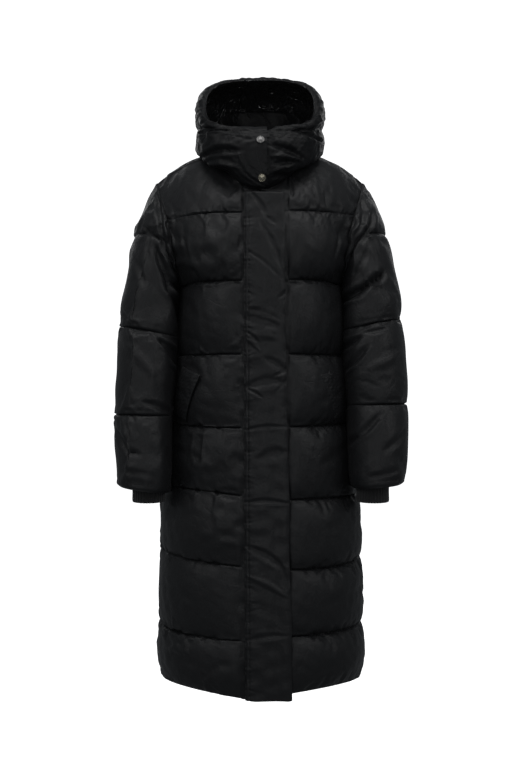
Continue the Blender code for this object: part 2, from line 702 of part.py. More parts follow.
def hood_grid(neck, start_x, start_back, end_x, end_back, turns=0.0):
    """Part of the hood between two lines of fixed x, with directions and swelling."""
    shares = HOOD_STEPS[:, None]
    first = hood_angle(shares, np.asarray(start_x), start_back)
    last = hood_angle(shares, np.asarray(end_x), end_back) + turns
    stops = neck_stops(neck, float(first[0, 0]), float(last[0, 0]))
    if start_back and end_back:
        stops = np.linspace(stops[0], stops[-1], 5)
    part = ((stops - stops[0]) / (stops[-1] - stops[0]))[None, :]
    angle = first + (last - first) * part

    def surface(v, a):
        return loop_point(HOOD, np.clip(v, 0, 1), a, HOOD_SQUARE)

    points = surface(shares + 0.0 * angle, angle)
    normals = grid_normals(surface, np.clip(shares + 0.0 * angle, 0.003, 0.997), angle, 1.0)
    edge, outward, beyond = neck_edge(neck, stops)
    points[0] = edge + beyond * SEAM_GAP
    normals[0] = outward
    border = np.minimum(part, 1 - part) * 6.0
    rise = hood_rise(shares + 0.0 * angle, angle) * np.clip(border, 0.0, 1.0)
    return points, normals, rise, beyond


def cloth_sides(points, normals, rise, deep=INNER_WALL, sewn=SEWN_RISE):
    """Outer and inner points of a wall."""
    outer = points + normals * (sewn + rise)[..., None]
    inner = points - normals * deep
    return outer, inner


# ---------------------------------------------------------------- pieces
def build_body():
    """Fronts and back with shared seam directions; returns the armhole directions."""
    right = front_grid(-1)
    left = front_grid(1)
    back = back_grid()
    first_hole = int(np.argmax(body_rows() >= ARMPIT_ROW))
    for front, col in ((right, 0), (left, -1)):
        shared = unit(front[1][:first_hole + 1, -1] + back[1][:first_hole + 1, col])
        front[1][:first_hole + 1, -1] = shared
        back[1][:first_hole + 1, col] = shared
    return right, left, back, first_hole


def join_shoulders(right, left, back):
    """Fronts and back share one direction along each shoulder seam."""
    seam = np.flatnonzero(FRONT_SHARES >= 0.5)
    for front, side in ((right, -1), (left, 1)):
        for j in seam:
            share = FRONT_SHARES[j]
            place = (BACK_SHARES - share)
            near = int(np.argmin(np.abs(place)))
            col = (len(BACK_SHARES) - 1) + side * near
            here = j + len(EDGE_XS)
            front[1][-1, here] = unit(front[1][-1, here] + back[1][-1, col])
        for k in np.flatnonzero(BACK_SHARES >= 0.5):
            col = (len(BACK_SHARES) - 1) + side * k
            near = int(np.argmin(np.abs(FRONT_SHARES - BACK_SHARES[k])))
            back[1][-1, col] = front[1][-1, near + len(EDGE_XS)]


def build_sleeve(name, table, side, front, back, first_hole):
    """Sleeve; its first ring shares the armhole's direction with the body."""
    points, normals, rise, turn = sleeve_grid(table, side)
    col = -1 if side > 0 else 0
    front_edge = front[1][first_hole:, -1]
    back_edge = back[1][first_hole:, col]
    loop = np.concatenate([front_edge[::-1], back_edge[1:-1]])
    under = smooth((-0.235 - points[0][:, 2:3]) / 0.06)
    shared = unit(unit(loop + normals[0]) + np.array([0.0, 0.0, -1.5]) * under)
    normals[0] = shared
    half = len(front_edge)
    front[1][first_hole:, -1] = shared[:half][::-1]
    rear = np.concatenate([shared[half - 1:half], shared[half:], shared[:1]])
    back[1][first_hole:, col] = rear
    points = pulled(points, ("bottom",))
    deep = np.full(points.shape[:2], INNER_WALL)
    deep[-3:] = np.array([INNER_WALL / 2, SLEEVE_END_WALL, SLEEVE_END_WALL])[:, None]
    outer = points + normals * (SEWN_RISE + rise)[..., None]
    inner = points - normals * deep[..., None]
    outer[-1] = points[-1] + np.array([0.0, 0.0, -0.0015])
    inner[-1] = points[-1] + np.array([0.0, 0.0, 0.0015])
    inner[-2, :, 2] += 0.0045
    wall(name, outer, inner, SHELL, ring=True)


def build_cuff(name, table, side):
    """Rib-knit cuff: a tube with a raised rib at every other point."""
    turn = np.linspace(0.0, 2 * math.pi, 2 * CUFF_RIBS, endpoint=False)
    heights = np.array([CUFF_TOP_Z, CUFF_END_Z + 0.003, CUFF_END_Z])
    rib = np.where(np.arange(len(turn)) % 2 == 0, CUFF_RIB, 0.0)
    outer = []
    inner = []
    for k, z in enumerate(heights):
        less = 0.001 if k == 2 else 0.0
        outside = cuff_ring(side, table, turn, CUFF_HALF_WIDTH + rib - less,
                            CUFF_HALF_DEPTH + rib - less, z)
        inside = cuff_ring(side, table, turn, CUFF_HALF_WIDTH - CUFF_WALL,
                           CUFF_HALF_DEPTH - CUFF_WALL, z + (0.0005 if k == 2 else 0.0))
        outer.append(outside)
        inner.append(inside)
    wall(name, np.array(outer), np.array(inner), RIB, ring=True)


def yoke_cover(grids):
    """Outer points of the body panels above their first line, with their directions."""
    rows = body_rows() >= TOP_ROW - 1
    points = []
    ways = []
    for level, normals, rise in grids:
        outer = level + normals * (SEWN_RISE + rise)[..., None]
        points.append(outer[rows].reshape(-1, 3))
        ways.append(normals[rows].reshape(-1, 3))
    return np.concatenate(points), np.concatenate(ways)


def push_clear(points, cover, clear):
    """Moves that bring points to at least a given height above a cover."""
    under, ways = cover
    apart = points[..., None, :] - under
    near = np.argmin((apart ** 2).sum(-1), axis=-1)
    height = ((points - under[near]) * ways[near]).sum(-1)
    return ways[near] * np.maximum(clear - height, 0.0)[..., None]


def build_hood(neck, cover):
    """Two sides and a centre strip; the right side laps over the left in front."""
    strip = HOOD_CENTRE_HALF
    left = hood_grid(neck, HOOD_LAP_LEFT, False, strip, True)
    right = hood_grid(neck, HOOD_LAP_RIGHT, False, -strip, True, -2 * math.pi)
    centre = hood_grid(neck, strip, True, -strip, True)
    for name, grid in (("hood_side_left", left), ("hood_side_right", right),
                       ("hood_center", centre)):
        points, normals, rise, beyond = grid
        level = np.array([1.0, 1.0, 0.0])
        radial = unit(points[0] * level - np.array([0.0, NECK_CENTRE_Y, 0.0]))
        ahead = points[..., 1] < -0.03
        if name == "hood_side_right":
            lifted = np.where(ahead, smooth((points[..., 0] + 0.062) / 0.03), 0.0)
            ways = normals.copy()
            ways[0] = radial
            points = points + ways * (HOOD_LAP_LIFT * lifted)[..., None]
            rise = rise * (1 - lifted)
        if name == "hood_side_left":
            sunk = np.where(ahead, 1 - smooth((points[..., 0] - 0.014) / 0.02), 0.0)
            rise = rise * (1 - sunk)
        edges = ("first", "last") if name == "hood_center" else ("last",)
        points = pulled(points, edges)
        outer, inner = cloth_sides(points, normals, rise, HOOD_WALL)
        lay = push_clear(outer[1:HOOD_LAID_ROWS], cover, HOOD_CLEAR)
        outer[1:HOOD_LAID_ROWS] += lay
        inner[1:HOOD_LAID_ROWS] += lay
        outer[0] = points[0] + beyond * 0.0001 + normals[0] * 0.0019
        inner[0] = points[0] + beyond * 0.0027 + normals[0] * 0.0008
        wall(name, outer, inner, SHELL)


def build_collar(neck):
    """Stand collar inside the hood, open in front where the zip ends."""
    shares = np.array([0.0, 0.33, 0.66, 1.0])[:, None]
    start = 0.05
    stops = neck_stops(neck, start, 2 * math.pi - start)
    angle = stops[None, :] + 0.0 * shares

    def surface(v, a):
        return loop_point(COLLAR, np.clip(v, 0, 1), a, 0.95)

    points = surface(shares + 0.0 * angle, angle)
    normals = grid_normals(surface, np.clip(shares + 0.0 * angle, 0.003, 0.997), angle, 1.0)
    swell_rows = np.array([0.0, 0.8, 1.0, 0.0])[:, None] * 0.002
    outer = points + normals * (swell_rows + 0.0 * angle)[..., None]
    deep = np.array([0.35, 1.0, 1.0, 0.7])[:, None] * COLLAR_WALL
    inner = points - normals * (deep + 0.0 * angle)[..., None]
    edge, outward, beyond = neck_edge(neck, stops)
    outer[0] = edge + beyond * 0.0037 + outward * 0.0002
    inner[0] = edge + beyond * 0.0037 - outward * 0.0022
    wall("collar", outer, inner, SHELL)


def front_surface(x, z):
    """Sewing level of the closed fronts near the middle, at x and z."""
    point = section_point(z, 0.0 * x, False, np.abs(x))
    point[..., 0] = x
    return point


def build_flap():
    """Storm flap over the front closure, sewn on the right front, free on the left."""
    z = np.array([row[0] for row in FLAP])
    rows = np.concatenate([np.linspace(FLAP[0][0], FLAP[-1][0], 33)])[:, None]
    seam = spline(z, column(FLAP, 1), rows)
    free = spline(z, column(FLAP, 2), rows)
    part = np.array([0.0, 0.12, 0.5, 0.88, 1.0])[None, :]
    x = seam + (free - seam) * part
    base = front_surface(x, rows + 0.0 * x)
    away = np.zeros_like(base)
    away[..., 1] = -1.0
    clear = SEWN_RISE + SEAM_GAP + 0.0006
    over = smooth((x - 0.030) / 0.035) * 0.0090
    puff = np.array([0.0, 0.7, 1.0, 0.7, 0.0])[None, :] * FLAP_CROWN
    thick = np.array([0.6, 1.0, 1.0, 1.0, 0.6])[None, :] * FLAP_WALL
    inner = base + away * (clear + over)[..., None]
    outer = base + away * (clear + over + puff + thick)[..., None]
    wall("storm_flap", outer, inner, SHELL)


def build_zip():
    """Closed zip behind the fronts' edges: two tapes and a chain between the edges."""
    rows = np.linspace(-0.152, -1.122, 24)[:, None]
    x = np.array([-0.0130, -0.0024, -0.0022, 0.0022, 0.0024, 0.0130])[None, :] + 0.0 * rows
    base = front_surface(x, rows + 0.0 * x)
    away = np.zeros_like(base)
    away[..., 1] = -1.0
    chain = np.array([0.0, 0.0, 1.0, 1.0, 0.0, 0.0])[None, :] * 0.0032 + 0.0 * rows
    depth = INNER_WALL + SEAM_GAP + 0.0008
    outer = base + away * (chain - depth)[..., None]
    inner = base - away * (depth + 0.0012)
    wall("front_zip", outer, inner, ZIP)


def build_welts():
    """Slanted pocket welts on the fronts."""
    low = np.linspace(0.0, 1.0, 6)[:, None]
    part = np.linspace(0.0, 1.0, 4)[None, :]
    (n0, z0, a0, y0, b0), (n1, z1, a1, y1, b1) = WELT
    inner_z = z0 + (z1 - z0) * low
    outer_z = y0 + (y1 - y0) * low
    inner_a = a0 + (a1 - a0) * low
    outer_a = b0 + (b1 - b0) * low
    z = inner_z + (outer_z - inner_z) * part
    angle = np.radians(inner_a + (outer_a - inner_a) * part)
    half, depth, rear = body_sizes(z)
    for name, side, plain in (("pocket_welt_right", -1, RIGHT_PLAIN),
                              ("pocket_welt_left", 1, LEFT_PLAIN)):
        first = np.arcsin((plain / half) ** (1.0 / ROUNDNESS))
        share = (angle - first) / (math.pi / 2 - first)
        edge_z = line_height(np.array([3.0, 4.0, 5.0])[:, None, None], share, side, False)
        row = 4.0 + (z - edge_z[1]) / (edge_z[2] - edge_z[1])
        row = np.where(z < edge_z[1], 4.0 - (edge_z[1] - z) / (edge_z[1] - edge_z[0]), row)

        def surface(r, s, side=side, plain=plain):
            return panel_point(r, s, side, False, plain)

        points = surface(row, share)
        normals = grid_normals(surface, row, share, side)
        below = SEWN_RISE + swell(row) * body_crown(row, share)
        under = points + normals * (below + WELT_CLEAR)[..., None]
        edge = np.ones_like(share) * WELT_WALL
        edge[:, 0] *= 0.6
        edge[:, -1] *= 0.8
        over = under + normals * edge[..., None]
        wall(name, over, under, SHELL)


def build_snaps():
    """Two press studs on the hood's lap."""
    shares = np.linspace(0.0, 1.0, 400)
    path = loop_point(HOOD, shares, 0.0 * shares, HOOD_SQUARE)
    for name, x, z, sink in SNAPS:
        k = int(np.argmin(np.abs(path[:, 2] - z)))
        slope = unit(path[min(k + 4, 399)] - path[k - 4])
        out = unit(np.cross(slope, np.array([1.0, 0.0, 0.0])))
        if out[1] > 0:
            out = -out
        seat = path[k] + out * (HOOD_LAP_LIFT + SEWN_RISE + 0.0007 - sink)
        seat = seat + np.array([x, 0.0, 0.0])
        turn = np.linspace(0.0, 2 * math.pi, SNAP_SIDES, endpoint=False)
        across = np.array([1.0, 0.0, 0.0])
        up = unit(np.cross(out, across))
        rings = []
        for share, height in SNAP_PROFILE:
            ring = (
                seat
                + out * height
                + across * (SNAP_RADIUS * share * np.cos(turn))[:, None]
                + up * (SNAP_RADIUS * share * np.sin(turn))[:, None]
            )
            rings.append(ring)
        points = np.concatenate(rings)
        n = SNAP_SIDES
        faces = [tuple(range(n))[::-1], tuple(range(len(points) - n, len(points)))]
        for r in range(len(SNAP_PROFILE) - 1):
            for c in range(n):
                d = (c + 1) % n
                faces.append((r * n + c, r * n + d, (r + 1) * n + d, (r + 1) * n + c))
        solid(name, points, faces, METAL)


def main():
    """Builds the coat."""
    for thing in list(bpy.data.objects):
        bpy.data.objects.remove(thing, do_unlink=True)
    right, left, back, first_hole = build_body()
    join_shoulders(right, left, back)
    neck = neck_frame(right, left, back)
    build_sleeve("sleeve_right", SLEEVE_RIGHT, -1, right, back, first_hole)
    build_sleeve("sleeve_left", SLEEVE_LEFT, 1, left, back, first_hole)
    for name, grid, edges in (
        ("front_right", right, ("last", "top")),
        ("front_left", left, ("last", "top")),
        ("back", back, ("first", "last", "top")),
    ):
        points, normals, rise = grid
        outer, inner = cloth_sides(pulled(points, edges), normals, rise)
        wall(name, outer, inner, SHELL)
    build_cuff("cuff_right", SLEEVE_RIGHT, -1)
    build_cuff("cuff_left", SLEEVE_LEFT, 1)
    build_hood(neck, yoke_cover((right, left, back)))
    build_collar(neck)
    build_flap()
    build_zip()
    build_welts()
    build_snaps()


main()
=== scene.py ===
"""Dressed model of a long hooded puffer coat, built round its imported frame.

Metres, +Z up, the front faces -Y and the wearer's right is -X. Every padded piece has the
form of its solid, with fuller channels, gathers along the sewn lines and folds placed one
by one.
"""

import logging
import math
from collections.abc import Callable
from dataclasses import dataclass, field
from enum import Enum

import bpy
import numpy as np
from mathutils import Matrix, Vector


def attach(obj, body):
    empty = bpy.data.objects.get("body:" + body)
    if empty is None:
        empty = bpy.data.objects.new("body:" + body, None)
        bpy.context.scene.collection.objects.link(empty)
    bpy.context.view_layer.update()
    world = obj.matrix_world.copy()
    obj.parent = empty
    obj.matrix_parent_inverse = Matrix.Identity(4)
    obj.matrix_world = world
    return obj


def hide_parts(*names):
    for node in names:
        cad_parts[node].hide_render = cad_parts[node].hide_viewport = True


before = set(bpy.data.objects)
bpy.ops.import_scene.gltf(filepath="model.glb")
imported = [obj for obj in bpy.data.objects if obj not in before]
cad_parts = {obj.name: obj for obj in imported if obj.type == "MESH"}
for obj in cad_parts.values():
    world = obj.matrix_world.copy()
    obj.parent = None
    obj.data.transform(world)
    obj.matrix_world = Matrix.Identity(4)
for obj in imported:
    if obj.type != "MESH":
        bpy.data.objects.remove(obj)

Array = np.ndarray
log = logging.getLogger("coat")

# ---------------------------------------------------------------- sizes of the cut
SEAM_GAP = 0.0003        # free space between two sewn pieces
INNER_WALL = 0.003       # plain inner side, below the sewing level
SEWN_RISE = 0.0015       # outer side above the sewing level where a line is sewn
ROUNDNESS = 0.97         # power of sine and cosine in the body's sections (1 = ellipse)
SIDE_Y = 0.012           # the side seams lie this far behind the middle

BODY_CROWN = 0.0175      # how far a body channel swells in front and behind
BODY_SIDE_CROWN = 0.0065 # the same at the side seams
UNDER_ARM_CROWN = 0.0015 # the same where the sleeve leans on the body
YOKE_CROWN = 0.012       # swelling over the shoulders

# Quilting lines from the hem up: for each front its height at the edge and at the side,
# and how far it arches up between them.
LINES = (
    ("hem", -1.14, -1.136, 0.01, -1.132, -1.141, 0.009),
    ("line_7", -1.022, -1.01, 0.0, -1.014, -1.014, 0.0),
    ("line_6", -0.873, -0.856, 0.004, -0.879, -0.87, -0.004),
    ("line_5", -0.73, -0.72, 0.007, -0.738, -0.738, 0.0),
    ("line_4", -0.592, -0.585, 0.0, -0.59, -0.584, 0.0),
    ("line_3", -0.4415, -0.444, 0.0, -0.4415, -0.4425, 0.0),
    ("line_2", -0.292, -0.296, 0.002, -0.29, -0.296, 0.004),
    ("line_1", -0.152, -0.158, 0.002, -0.147, -0.148, 0.0),
)
TOP_ROW = len(LINES)     # row number of the neckline and shoulder seams
ARMPIT_ROW = 6           # the armholes start on this line

# Body sections at the sewing level: height, half width, front and back depth.
BODY = (
    (-1.15, 0.21, 0.16, 0.158),
    (-1.06, 0.2155, 0.162, 0.16),
    (-0.94, 0.2135, 0.16, 0.157),
    (-0.84, 0.211, 0.157, 0.153),
    (-0.762, 0.205, 0.155, 0.148),
    (-0.7, 0.1945, 0.153, 0.143),
    (-0.6, 0.186, 0.15, 0.135),
    (-0.45, 0.177, 0.147, 0.128),
    (-0.296, 0.17, 0.148, 0.134),
    (-0.205, 0.184, 0.145, 0.14),
    (-0.146, 0.196, 0.137, 0.138),
    (-0.105, 0.205, 0.134, 0.134),
)

# Armholes, from the armpit up: height, then x and y of the front and of the back curve.
ARMHOLE = (
    (-0.296, 0.17, 0.012, 0.17, 0.012),
    (-0.2915, 0.1715, -0.02, 0.172, 0.043),
    (-0.276, 0.1745, -0.05, 0.176, 0.065),
    (-0.248, 0.1785, -0.0745, 0.1815, 0.085),
    (-0.21, 0.183, -0.086, 0.188, 0.097),
    (-0.18, 0.188, -0.084, 0.193, 0.097),
    (-0.153, 0.1945, -0.074, 0.199, 0.09),
    (-0.118, 0.2065, -0.046, 0.2095, 0.07),
    (-0.087, 0.216, -0.016, 0.2175, 0.043),
    (-0.065, 0.221, 0.012, 0.221, 0.012),
)

# Neckline: x = half width * sin, y = centre - depth * cos, z from the cosine's powers.
NECK_HALF_WIDTH = 0.085
NECK_CENTRE_Y = -0.02
NECK_DEPTH = 0.105
NECK_Z = (-0.01, -0.06, -0.035)
SHOULDER_TIP = (0.221, 0.012, -0.065)
YOKE_BULGE = (0.25, 0.65)  # roundness of the yoke at the middle and at the armhole
SHOULDER_BOW = 0.013     # the shoulder seam rises this much over a straight line

# Sleeve rings at the sewing level: outer and inner edge (x, z), centre y, half depth.
SLEEVE_RIGHT = (
    ("below_armpit", 0.283, -0.285, 0.179, -0.322, -0.01, 0.083),
    ("line_b", 0.295, -0.38, 0.178, -0.404, -0.028, 0.08),
    ("elbow", 0.2985, -0.472, 0.182, -0.485, -0.042, 0.078),
    ("line_c", 0.302, -0.566, 0.189, -0.569, -0.058, 0.076),
    ("end", 0.292, -0.712, 0.188, -0.726, -0.088, 0.07),
)
SLEEVE_LEFT = (
    ("below_armpit", 0.281, -0.28, 0.179, -0.322, -0.01, 0.083),
    ("line_b", 0.294, -0.365, 0.1785, -0.39, -0.026, 0.08),
    ("elbow", 0.2985, -0.454, 0.183, -0.468, -0.04, 0.078),
    ("line_c", 0.303, -0.544, 0.189, -0.547, -0.055, 0.076),
    ("end", 0.293, -0.708, 0.193, -0.716, -0.088, 0.07),
)
SLEEVE_OUTER_CROWN = 0.0065
SLEEVE_FRONT_CROWN = 0.013
SLEEVE_INNER_CROWN = 0.001
SLEEVE_END_WALL = 0.0012 # inner side at the turned-in end
# First quilting line of a sleeve, as a share of the way from the armhole to the first
# ring, every 45 degrees from the shoulder tip round to the armpit.
CAP_LINE = (0.56, 0.42, 0.22, 0.13, 0.3)

CUFF_CENTRE_IN = 0.008   # the cuff lies this much nearer the body than the sleeve's end
CUFF_HALF_WIDTH = 0.0335
CUFF_HALF_DEPTH = 0.044
CUFF_TOP_Z = -0.704
CUFF_END_Z = -0.747
CUFF_WALL = 0.0022
CUFF_RIB = 0.0012
CUFF_RIBS = 32
CUFF_SEAT = 0.0034       # the sleeve's turned-in end stands this far round the cuff

# Hood loops from the neck seam, 0, to the rim, 1: front and back (y, z), half width and
# lift at the sides.
HOOD = (
    (0.0, -0.125, -0.105, 0.085, 0.015, 0.085, 0.035),
    (0.1, -0.136, -0.088, 0.108, 0.028, 0.107, 0.035),
    (0.24, -0.144, -0.066, 0.15, 0.036, 0.128, 0.019),
    (0.45, -0.147, -0.026, 0.19, 0.078, 0.131, 0.015),
    (0.7, -0.14, 0.0, 0.15, 0.148, 0.131, 0.005),
    (0.88, -0.133, 0.012, 0.07, 0.17, 0.129, 0.0),
    (1.0, -0.122, 0.018, -0.01, 0.156, 0.116, 0.0),
)
HOOD_SQUARE = 0.72       # power of sine and cosine in the hood's loops
HOOD_WALL = 0.003
HOOD_CROWN = 0.007
HOOD_CENTRE_HALF = 0.046 # half the width of the centre strip
HOOD_LAP_RIGHT = 0.014   # the right side's front edge, on the wearer's left
HOOD_LAP_LEFT = -0.026   # the left side's front edge, below the right side
HOOD_CLEAR = 0.003       # the hood lies at least this high above the yokes
HOOD_LAP_LIFT = 0.0068   # the right side lies this much further out on the lap
# The hood's quilting line as v, every 45 degrees from the front to the back.
HOOD_LINE = (0.9, 0.8, 0.5, 0.36, 0.32)

# Collar loops from the neck seam, 0, to the top, 1, in the same order.
COLLAR_WALL = 0.008
COLLAR = (
    (0.0, -0.121, -0.104, 0.081, 0.0155, 0.081, 0.035),
    (0.35, -0.119, -0.06, 0.077, 0.045, 0.083, 0.018),
    (0.7, -0.112, -0.015, 0.074, 0.08, 0.086, 0.008),
    (1.0, -0.102, 0.02, 0.07, 0.106, 0.087, 0.002),
)

# Storm flap: height, then x of its seam and of its free edge.
FLAP = (
    (-0.112, -0.0325, 0.05),
    (-0.29, -0.0325, 0.051),
    (-0.59, -0.032, 0.055),
    (-0.73, -0.032, 0.059),
    (-0.9, -0.031, 0.061),
    (-1.141, -0.03, 0.066),
)
FLAP_WALL = 0.005
FLAP_CROWN = 0.0035

# Pocket welts: height and angle from the front, in degrees, of the inner edge, then of
# the outer edge.
WELT = (
    ("top", -0.485, 38.0, -0.466, 58.0),
    ("bottom", -0.58, 52.0, -0.564, 70.0),
)
WELT_WALL = 0.0035
WELT_CLEAR = 0.001       # free space under a welt

# Press studs on the hood's lap: x, height and how deep they sit in the cloth.
SNAPS = (
    ("snap_upper", 0.001, -0.01, 0.0),
    ("snap_lower", 0.004, -0.08, 0.0006),
)
SNAP_RADIUS = 0.008

# Fronts by side, -1 the wearer's right and +1 the left: each is flat from its edge to
# this x, with flat columns at these xs.
PLAIN = {-1: 0.0345, 1: 0.056}
FLAT_XS = {
    -1: (0.003, 0.008, 0.014, 0.02, 0.026, 0.031),
    1: (0.003, 0.008, 0.014, 0.02, 0.026, 0.031, 0.036, 0.041, 0.046, 0.051),
}
CHANNEL_ROWS = 32        # rows of a body channel
CROWDING = 0.72          # how much closer the rows lie near a sewn line
MIDDLE = 84              # middle column of the back
HEM_STITCH_ROW = 3
ARMHOLE_LOW = -0.235     # below this the armhole turns under the arm
SLEEVE_SQUARE = 0.9      # power of sine and cosine in the sleeve's rings

LINE_GROOVE = 0.0022     # depth and width of the groove on a sewn line
LINE_GATHERS = ((0.0075, 0.0027, 0.006), (0.019, 0.0022, 0.009))   # pitch, depth, reach
FOLD_BOW = 0.045         # a fold bends sideways by this share of its length
FOLD_BANK = 0.26         # height of a fold's banks, as a share of its own
CLOTH_SETTINGS = {
    "quality": 4, "mass": 0.12, "tension_stiffness": 12.0, "compression_stiffness": 6.0,
    "shear_stiffness": 3.0, "bending_stiffness": 0.12, "tension_damping": 8.0,
    "compression_damping": 8.0, "air_damping": 3.0, "vertex_group_mass": "held",
    "use_pressure": True,
}

# ---------------------------------------------------------------- folds placed one by one
# In millimetres: x and z of both ends, half width and height, which is below 0 for a trough.
FRONT_FOLDS = (          # from the chest to the hem, then at the flap's seam, pocket and armholes
    (-185, -125, -150, -205, 7.4, -2.3), (-150, -105, -115, -165, 8.7, -1.5),
    (-110, -155, -60, -230, 8.1, -1.3), (190, -120, 150, -215, 7.4, -2.3),
    (140, -100, 105, -170, 8.7, -1.5), (-168, -310, -120, -370, 8.7, -1.8),
    (-160, -400, -105, -425, 7.4, -1.4), (165, -315, 125, -360, 8.7, -1.8),
    (-165, -470, -95, -520, 9.3, -1.7), (-120, -545, -50, -560, 8.1, -1.3),
    (160, -500, 105, -545, 9.3, -1.7), (-180, -640, -110, -660, 9.9, -1.9),
    (-120, -690, -55, -680, 8.7, -1.3), (175, -625, 110, -670, 9.9, -1.9),
    (-195, -790, -120, -770, 9.9, -1.9), (-110, -830, -50, -800, 8.7, -1.4),
    (190, -775, 120, -800, 9.9, -1.9), (-200, -920, -130, -945, 10.5, -1.9),
    (200, -930, 125, -950, 10.5, -1.9), (120, -985, 70, -960, 8.7, -1.4),
    (-190, -1060, -115, -1080, 10.5, -1.9), (190, -1055, 110, -1085, 10.5, -1.9),
    (-36, -398, -66, -426, 4.2, -3.6), (-36, -410, -56, -452, 3.8, -3),
    (-36, -512, -60, -522, 4, -3.2), (-36, -268, -62, -290, 4, -3.2),
    (-36, -452, -70, -478, 4.6, -2.8), (-150, -462, -110, -486, 6, -3.4),
    (-158, -200, -146, -232, 4.6, -3.4), (158, -200, 146, -236, 4.6, -3.4),
)
BACK_FOLDS = (           # yoke and blades, waist, seat, thigh, knee and hem
    (-150, -110, -95, -205, 15, -2.2), (145, -115, 100, -210, 15, -2.2),
    (-50, -60, -20, -130, 16, -1.5), (-165, -240, -80, -275, 15, -2), (160, -235, 70, -262, 15, -2),
    (-160, -395, -60, -350, 17, -2.1), (150, -380, 40, -400, 17, -2.1),
    (-140, -520, -20, -555, 16, -1.7), (155, -505, 60, -480, 16, -2.1),
    (-170, -640, -60, -670, 18, -2.1), (170, -655, 45, -640, 18, -2.1),
    (-185, -800, -80, -780, 18, -2.1), (180, -790, 70, -825, 18, -2.1),
    (-190, -930, -90, -960, 18, -2.1), (195, -950, 100, -930, 18, -2.1),
    (-180, -1070, -75, -1090, 18, -2), (185, -1085, 80, -1060, 18, -2),
)
FLAP_FOLDS = (           # from the top fall down to the hem
    (-17, -113, 15, -164, 4.6, -3.4), (13, -162, 30, -176, 4.2, -2.6),
    (5, -180, 44, -271, 5.2, -3.6), (-20, -236, 40, -286, 4, -1.6), (-26, -398, -4, -418, 3.6, -3),
    (-26, -412, 0, -436, 3.4, 2.2), (-24, -514, 4, -530, 3.4, -2.8), (56, -470, 30, -486, 3.6, -3),
    (56, -490, 34, -516, 3.4, -2.4), (56, -310, 36, -330, 3.4, -2.4), (-24, -372, 34, -386, 10, -4),
    (-20, -402, 30, -410, 7, 2), (-20, -506, 45, -498, 9, -3.4), (14, -452, 56, -482, 7, -3),
    (-4, -655, 52, -640, 10, -3.4), (-28, -596, 52, -590, 4, -2.2),
    (-26, -742, 56, -744, 4.6, -2.8), (-23, -832, 46, -874, 6.6, -4.4),
    (40, -868, 54, -921, 6, -4.2), (-23, -891, 50, -929, 5.2, 2.8), (-24, -350, 40, -372, 5.4, -2),
    (-26, -1020, 50, -1010, 5.4, -2.4),
)
RIGHT_SLEEVE_FOLDS = (   # cap, bend of the arm with its ridges, elbow, forearm and cuff
    (-216, -112, -203, -212, 6, -6.6), (-222, -118, -209, -210, 3.4, 2.2),
    (-203, -104, -188, -200, 5, -5), (-236, -170, -226, -200, 4.6, -3.4),
    (-215, -226, -197, -318, 7.6, -15), (-199, -310, -170, -400, 7.8, -15),
    (-222, -224, -203, -318, 4.4, 5.8), (-203, -318, -176, -404, 4.4, 6),
    (-200, -275, -172, -330, 5.6, -8.5), (-206, -286, -176, -338, 2.8, 2.4),
    (-207, -420, -176, -468, 7.8, -15), (-212, -424, -178, -478, 4.4, 5.5),
    (-276, -422, -224, -486, 9, 4), (-292, -598, -268, -640, 6, -6.4),
    (-266, -642, -240, -649, 5.2, -5.3), (-235, -540, -195, -560, 6, -4.4),
    (-262, -566, -250, -612, 5, -3.4), (-275, -680, -225, -690, 5.5, -3.4),
    (-262, -232, -236, -300, 6, -5), (-284, -350, -262, -392, 5.6, -4),
)
LEFT_SLEEVE_FOLDS = (    # cap, bend of the arm with its ridges, elbow, forearm and cuff
    (230, -140, 212, -212, 5.6, -6.6), (236, -144, 218, -212, 3.2, 2.2),
    (214, -118, 200, -196, 5, -4.8), (251, -271, 226, -296, 7.6, -15),
    (226, -296, 180, -330, 7.8, -15), (232, -290, 184, -340, 4.4, 5.6),
    (222, -222, 200, -275, 5, -5.6), (212, -408, 180, -430, 6, -7), (222, -430, 186, -474, 6, -6.2),
    (228, -434, 192, -480, 3, 3), (256, -392, 220, -400, 4.6, -4.6), (278, -440, 232, -470, 9, 4),
    (242, -570, 208, -612, 6, -7.2), (248, -575, 214, -618, 3, 2.6),
    (208, -612, 182, -630, 5.8, -5.6), (286, -600, 250, -640, 6, -5),
    (280, -672, 225, -690, 5.5, -3.4),
)
SLEEVE_BACK_FOLDS = (    # behind both sleeves, as on the left
    (225, -125, 206, -225, 7.2, -5.9), (255, -262, 200, -318, 7.6, -7.2),
    (285, -405, 215, -440, 7.9, -6.6), (270, -470, 205, -480, 7.9, -5.9),
    (290, -585, 225, -620, 7.2, -5.5), (280, -665, 215, -690, 6.8, -3.9),
)
HOOD_FOLDS = (           # chin, left lap, top edge, rim and cheeks
    (-112, -26, -40, -30, 6.4, -7.8), (-108, -44, -46, -62, 5.2, 5.2), (-92, -54, -46, -82, 5, -5),
    (20, -18, 82, -38, 5.8, -7.8), (20, -40, 78, -44, 4.6, 5.2), (24, -56, 66, -50, 4, -4),
    (20, -72, 60, -58, 3.8, 4), (22, -82, 54, -72, 3.6, -4.2), (6, -56, 18, -66, 3, -3),
    (-60, 10, -12, 8, 3.4, -2.6), (-50, 3, -16, -4, 3, 2.2), (-126, 24, -62, 20, 4.6, -5.2),
    (126, 8, 70, 16, 4.6, -5), (-128, 60, -108, 10, 6.6, -5), (128, 60, 110, 10, 6.6, -5),
)
HOOD_BACK_FOLDS = (      # nape and crown
    (-80, 60, -20, 45, 8.5, -6.8), (75, 65, 15, 50, 8.5, -6.8), (-100, 120, -50, 90, 9.3, -5.4),
    (105, 115, 55, 85, 9.3, -5.4),
)


